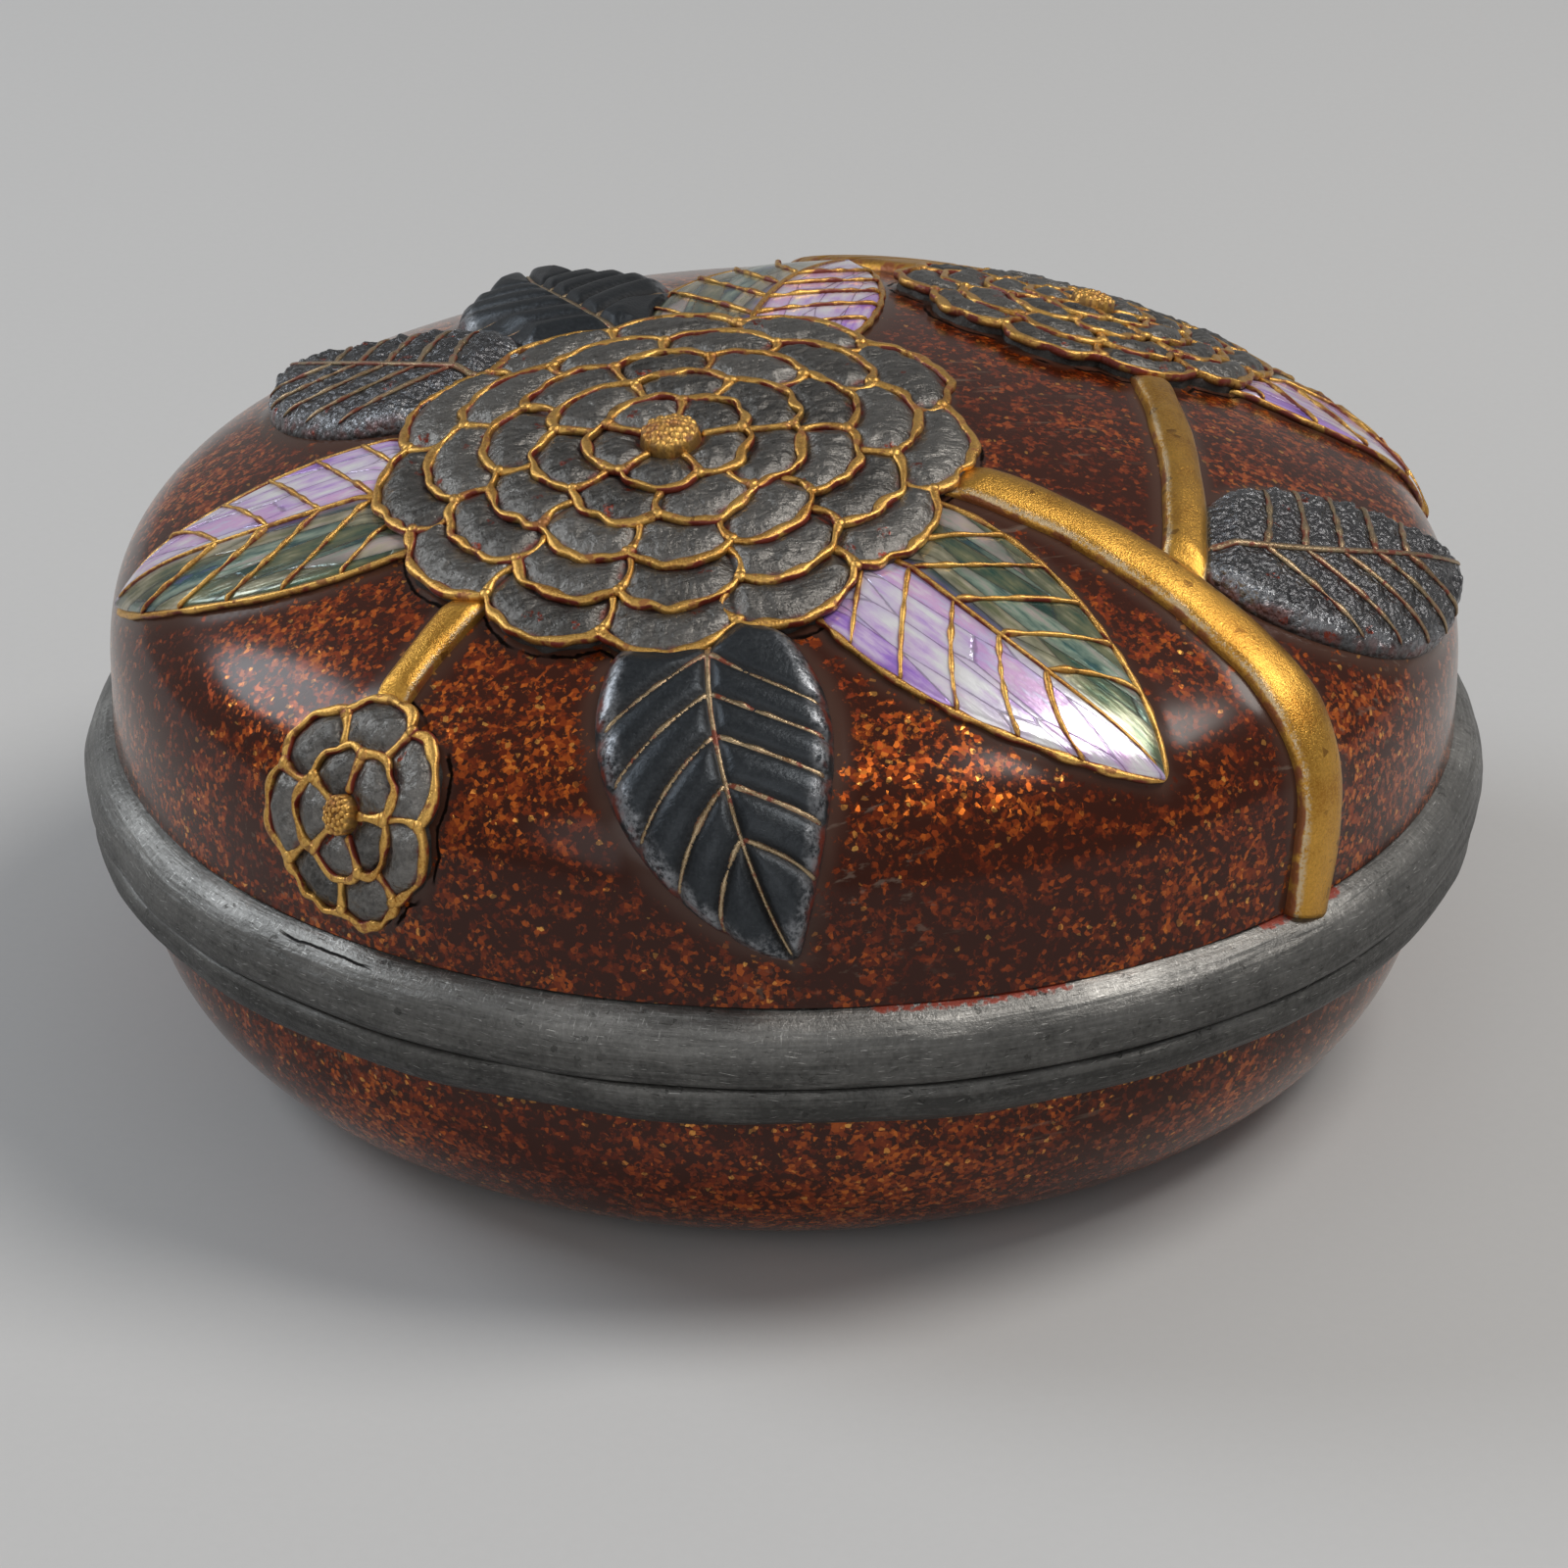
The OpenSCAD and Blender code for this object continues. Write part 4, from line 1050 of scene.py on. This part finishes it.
# Stems: low rounded rods, rubbed pale along their edges
stemForm = dict(height=0.98, roundness=0.72, flatness=0.85, uneven=0.03, unevenWave=6, grain=0.010,
                grainWave=0.5, sink=0.25, rubFrom=(0.74, 0.87), rubTo=(0.96, 0.90), worn=(0.90, 0.97),
                dirt=(0.96, 1.0), rows=170, sides=36)


def goldStem(name, stem):
    # a flattened half round carried along an arc, sunk where a bloom or another stem lies over it
    f = stemForm
    t = np.linspace(-0.01, 1, f["rows"])[:, None]
    swing = around(f["sides"])
    rise = np.sin(swing)
    along = t * stem["arc"]["length"]
    half = stemHalf(stem, t) * (1 + f["uneven"] * ripple(pair(along, 0 * t), f["unevenWave"], stem["seed"]))
    across = flattened(np.cos(swing), f["flatness"])
    x, y = arcPoint(stem["arc"], t, half * across)
    grain = f["grain"] * ripple(pair(along / 6, across * half), f["grainWave"], stem["seed"] + 1)
    h = f["height"] * np.maximum(rise, 0)**f["roundness"] + grain * smooth(0, 0.6, rise)
    h = tuck(np.where(rise < 0, -f["sink"], h), gapOver(name + "Stem", x, y))
    points = onFace(x, y, h)
    ends = points[[0, -1]].mean(axis=1, keepdims=True) + 0 * points[[0, -1]]
    points = np.concatenate([ends[:1], points, ends[1:]])
    aside = np.abs(across)
    uv = pair(np.arange(len(points))[:, None] * 0.2, swing)
    rubbed = smooth(*f["rubFrom"], aside) * smooth(*f["rubTo"], aside)
    worn, dirt = smooth(*f["worn"], aside), 0.5 * smooth(*f["dirt"], aside)
    patches = [patch(points, uv, edge=worn, dirt=dirt, rubbed=rubbed)]
    addPiece(name + "Stem", patches, ["stemGold"], "lid", stem["node"])


for stemName, stemData in stems.items():
    goldStem(stemName, stemData)
print("stems laid")


# Leaves

def leafGrid(leaf, rows=150, columns=81):
    # shares along and across a leaf, closer together at its ends and margins
    t = 0.5 - 0.5 * np.cos(np.linspace(0, np.pi, rows))[:, None]
    v = np.sin(np.linspace(-1, 1, columns) * np.pi / 2)
    half = leafHalf(leaf, t)
    return np.broadcast_arrays(t, v, half, *arcPoint(leaf["arc"], t, half * v))


def veinGaps(leaf, t, v):
    # distance to the midrib, and to the nearest side vein measured along the leaf
    apart = [np.abs(t - veinAt(k, np.abs(v))) for k in range(veinForm["count"])]
    return np.abs(v) * leafHalf(leaf, t), np.min(apart, axis=0) * leaf["arc"]["length"] * veinForm["slant"]


def edgeGap(leaf, t, v):
    # distance to the margin: what is left of the half width
    return leafHalf(leaf, t) * (1 - np.abs(v))


def leafPiece(name, h, grid, finishName, slot, node, **marks):
    # the top of a leaf, with a flat underside sunk in the lacquer
    arc, under = leaves[name]["arc"], 7
    t, v, half, x, y = grid
    h = tuck(h, gapOver(name, x, y))
    ux, uy = arcPoint(arc, t[:, :1], half[:, :1] * np.linspace(1, -1, under))
    sides = ((x, ux), (y, uy), (h, np.full_like(ux, -tuckForm["sink"])))
    points = onFace(*(np.concatenate([top, low, top[:, :1]], 1) for top, low in sides))
    blank = np.zeros((len(t), under + 1))
    marks = {key: np.concatenate([value + 0 * t, blank], 1) for key, value in marks.items()}
    uv = pair(np.concatenate([t * arc["length"], blank], 1), np.concatenate([v * half, blank], 1))
    addPiece(name + "Leaf", [patch(points, uv, **marks)], [finishName], "lid", node)


def veinCords(name, heightAt, wide, high, margin=False):
    # the midrib and side veins of a leaf as cords, and its margin if asked
    leaf, patches = leaves[name], []

    def spot(t, v):
        return arcPoint(leaf["arc"], t, v * leafHalf(leaf, t))

    def lay(t, v, wider, higher):
        x, y = spot(t, v)
        h = tuck(heightAt(t, v), gapOver(name, x, y))
        patches.append(cordPatch(x, y, h, wide * wider, high * higher, 8))

    first, last = 0.02, 0.97
    t = np.linspace(first, last, 90)
    taper = (1.25 - 0.75 * t) * rounded(2 * (t - first) / (last - first) - 1, 30)
    lay(t, 0 * t, taper, taper)
    for k in range(veinForm["count"]):
        for side in (-1, 1):
            u = np.linspace(0, 1.0 if margin else veinForm["reach"], 34)
            t = np.minimum(veinAt(k, u), 0.985)
            taper = (1 - 0.35 * u) * rounded(2 * u / u[-1] - 1, 20)
            taper = taper * (1 + 0.2 * ripple(pair(*spot(t, side * u)), 1.6, leaf["seed"] + k))
            lay(t, side * u, taper, taper)
    for side in (-1, 1) if margin else ():
        t = 0.5 - 0.5 * np.cos(np.linspace(0, np.pi, 160))
        thick = 1 + 0.25 * ripple(pair(*spot(t, side)), 2.4, leaf["seed"] + 9)
        closed = rounded(2 * t - 1, 60)
        lay(t, side + 0 * t, 1.1 * thick * closed, closed)
    return patches


def quarterRound(gap, radius):
    # a rounded margin: a quarter of a circle from the edge inwards
    return rounded(1 - np.clip(gap / radius, 0, 1))


def ridges(gap, width):
    # bell-shaped ridges: 1 along a line, falling off with the square of the gap
    return np.exp(-(gap / width)**2)


smoothLeaf = dict(height=0.80, crown=0.50, roll=1.2, groove=0.36, ribWidth=0.26, veinWidth=0.22, puff=0.48,
                  puffReach=1.3, tipCurl=0.5)


def smoothLeafHeight(leaf, t, v):
    # a thick leaf with rounded lobes between cut veins, its tip curled up
    f = smoothLeaf
    middle, side = veinGaps(leaf, t, v)
    roll = quarterRound(edgeGap(leaf, t, v) * 0.9, f["roll"])
    lobes = f["puff"] * (1 - np.exp(-np.minimum(middle, side) / f["puffReach"]))
    grooves = f["groove"] * np.maximum(ridges(middle, f["ribWidth"]), 0.85 * ridges(side, f["veinWidth"]))
    h = (f["height"] + f["crown"] * (1 - v**2) * np.sin(np.pi * np.clip(t, 0, 1))**0.5 + lobes) * roll
    return h - grooves * smooth(0, 0.6, roll) + f["tipCurl"] * smooth(0.72, 1.0, t) * roll


roughLeaf = dict(height=0.75, crown=0.4, roll=1.3, puff=0.42, puffReach=1.1, vein=0.20, ribWidth=0.30,
                 veinWidth=0.22, cobble=0.12, cobbleSize=0.62, swell=0.05, swellWave=1.1)


def roughLeafHeight(leaf, t, v):
    # a puffed leaf, cobbled all over, with raised veins
    f = roughLeaf
    half = leafHalf(leaf, t)
    middle, side = veinGaps(leaf, t, v)
    roll = quarterRound(edgeGap(leaf, t, v) * 0.9, f["roll"])
    lobes = f["puff"] * (1 - np.exp(-np.minimum(middle, side) / f["puffReach"])) + f["crown"] * (1 - v**2)
    near, following = cells(*arcPoint(leaf["arc"], t, half * v), f["cobbleSize"], leaf["seed"])
    flat = pair(t * leaf["arc"]["length"] * 0.8, v * half)
    cobble = f["cobble"] * smooth(0.0, 0.5, following - near)
    cobble = cobble + f["swell"] * ripple(flat, f["swellWave"], leaf["seed"] + 1)
    cobble = cobble * smooth(0.1, 0.45, np.minimum(middle, side))
    veins = f["vein"] * np.maximum(ridges(middle, f["ribWidth"]), 0.8 * ridges(side, f["veinWidth"]))
    return (f["height"] + lobes) * roll + (cobble + veins) * smooth(0.2, 0.8, roll)


def pewterLeaf(name, heightAt, finishName):
    # a beaten leaf with margin and tip painted paler (rubbed wear and a painted highlight), dirty along its
    # veins, and its gold veins
    leaf, node = leaves[name], "pewter_leaf_" + name
    grid = leafGrid(leaf)
    t, v = grid[:2]
    edge, veins = edgeGap(leaf, t, v), np.minimum(*veinGaps(leaf, t, v))
    # margin and tip are painted paler: rubbed wear and a painted highlight
    rubbed = smooth(0.15, 0.45, edge) * np.maximum(smooth(1.7, 0.4, edge), 0.8 * smooth(0.84, 0.95, t))
    dirt = np.clip(0.6 * smooth(0.45, 0.1, veins) + smooth(0.15, 0.0, edge), 0, 1)
    leafPiece(name, heightAt(leaf, t, v), grid, finishName, "pewter", node, level=0.5 + 0.2 * v,
              edge=1 - smooth(0.1, 0.9, edge), rubbed=rubbed, dirt=dirt)

    def veinHeight(t, v):
        return heightAt(leaf, t, v) + veinForm["lift"]

    lines = veinCords(name, veinHeight, veinForm["wide"], veinForm["high"])
    addPiece(name + "LeafVeins", lines, ["veinGold"], "lid", node + "_veins")


pewterLeaf("front", smoothLeafHeight, "smoothPewter")
pewterLeaf("right", roughLeafHeight, "roughPewter")
pewterLeaf("left", roughLeafHeight, "roughPewter")
pewterLeaf("back", smoothLeafHeight, "smoothPewter")

shellForm = dict(height=0.42, steps=0.10, crown=0.18, roll=0.5, lineSink=0.6, lineRise=0.27, lineWide=0.16,
                 lineHigh=0.2)


def shellLeafHeight(leaf, t, v):
    # thin pieces of shell, each a little higher or lower than the next
    f = shellForm
    strip = np.sum([t > veinAt(k, np.abs(v)) for k in range(veinForm["count"])], axis=0)
    step = scatter(strip, np.sign(v), leaf["seed"])
    roll = quarterRound(edgeGap(leaf, t, v), f["roll"])
    return (f["height"] + f["steps"] * step + f["crown"] * (1 - v**2)) * roll, step


def shellLeaf(name):
    # a leaf of shell, pale on one side of the midrib, and its gold lines
    f, leaf, node = shellForm, leaves[name], "shell_leaf_" + name.replace("Shell", "")
    grid = leafGrid(leaf)
    t, v = grid[:2]
    h, level = shellLeafHeight(leaf, t, v)
    leafPiece(name, h, grid, "nacre", "shell", node, level=level, side=smooth(-0.15, 0.15, -v))

    def lineHeight(t, v):
        return shellLeafHeight(leaf, t, v)[0] * f["lineSink"] + f["lineRise"]

    lines = veinCords(name, lineHeight, f["lineWide"], f["lineHigh"], True)
    addPiece(name + "Lines", lines, ["lineGold"], "lid", node + "_outline")


for leafName in ("leftShell", "crownShell", "rightShell", "backShell"):
    shellLeaf(leafName)

goldForm = dict(height=0.62, crown=0.28, roll=0.8, cut=0.22, ribWidth=0.2, veinWidth=0.16, rows=180,
                columns=101)


def goldLeaf(name):
    # a low gold leaf with cut veins
    f, leaf = goldForm, leaves[name]
    grid = leafGrid(leaf, f["rows"], f["columns"])
    t, v = grid[:2]
    middle, side = veinGaps(leaf, t, v)
    edge = edgeGap(leaf, t, v)
    cut = f["cut"] * np.maximum(ridges(middle, f["ribWidth"]), ridges(side, f["veinWidth"]))
    h = (f["height"] + f["crown"] * (1 - v**2) - cut) * quarterRound(edge, f["roll"])
    leafPiece(name, h, grid, "stemGold", "gold", "gold_leaf", edge=1 - smooth(0.1, 0.8, edge),
              dirt=smooth(0.30, 0.08, np.minimum(middle, side)))


goldLeaf("gold")
print("leaves laid")

# Stage: pale floor, soft lamps and the camera
stageForm = dict(floorSide=4000, floorDrop=0.02, floorTone=0.58, floorGrain=0.02, worldTone=0.62,
                 worldStrength=0.40)
lamps = dict(
    key=dict(way=(0.54, -0.03, 0.84), distance=620, size=300, watts=2.0, colour=(1.0, 0.965, 0.92)),
    window=dict(way=(-0.78, 0.25, 0.58), distance=620, size=290, watts=1.25, colour=(0.88, 0.94, 1.0)),
    front=dict(way=(-0.25, -0.88, 0.42), distance=800, size=620, watts=0.95, colour=(1.0, 1.0, 1.0)),
)
cameraForm = dict(distance=296, elevation=25.84, aimZ=12.0, lens=123.98, sensor=36)


def hold(name, data):
    holder = bpy.data.objects.new(name, data)
    bpy.context.scene.collection.objects.link(holder)
    return holder


def aim(thing, spot, target):
    thing.location = Vector(spot) * mm
    thing.rotation_euler = (Vector(target) - Vector(spot)).to_track_quat("-Z", "Y").to_euler()


def addStage():
    f = stageForm
    side, z = f["floorSide"] / 2 * mm, -f["floorDrop"] * mm
    mesh = bpy.data.meshes.new("floor")
    corners = [(-side, -side, z), (side, -side, z), (side, side, z), (-side, side, z)]
    mesh.from_pydata(corners, [], [(0, 1, 2, 3)])
    material, root, at = newFinish("floorPaper")
    grain = at.noise(0.6, 3) * f["floorGrain"] + (f["floorTone"] - f["floorGrain"] / 2)
    colour = root.node("ShaderNodeCombineColor", {}, {"Red": grain, "Green": grain, "Blue": grain})
    shade(root, Base_Color=colour, Roughness=0.85)
    mesh.materials.append(material)
    hold("floor", mesh)
    world = bpy.data.worlds.new("studio")
    world.use_nodes = True
    background = world.node_tree.nodes["Background"]
    background.inputs["Color"].default_value = (f["worldTone"], f["worldTone"], f["worldTone"], 1)
    background.inputs["Strength"].default_value = f["worldStrength"]
    bpy.context.scene.world = world
    for name, lamp in lamps.items():
        light = bpy.data.lights.new(name, "AREA")
        light.shape, light.size = "DISK", lamp["size"] * mm
        light.energy, light.color = lamp["watts"], lamp["colour"]
        way = Vector(lamp["way"]).normalized() * lamp["distance"]
        aim(hold(name, light), way + Vector((0, 0, seamZ)), (0, 0, seamZ))


def addCamera():
    f = cameraForm
    camera = bpy.data.cameras.new("camera")
    camera.sensor_width, camera.lens = f["sensor"], f["lens"]
    holder = hold("camera", camera)
    lift = np.radians(f["elevation"])
    spot = (0, -f["distance"] * np.cos(lift), seamZ + f["distance"] * np.sin(lift))
    aim(holder, spot, (0, 0, f["aimZ"]))
    bpy.context.scene.camera = holder


addStage()
addCamera()
bpy.context.scene.view_settings.view_transform = "Standard"
print("stage set")
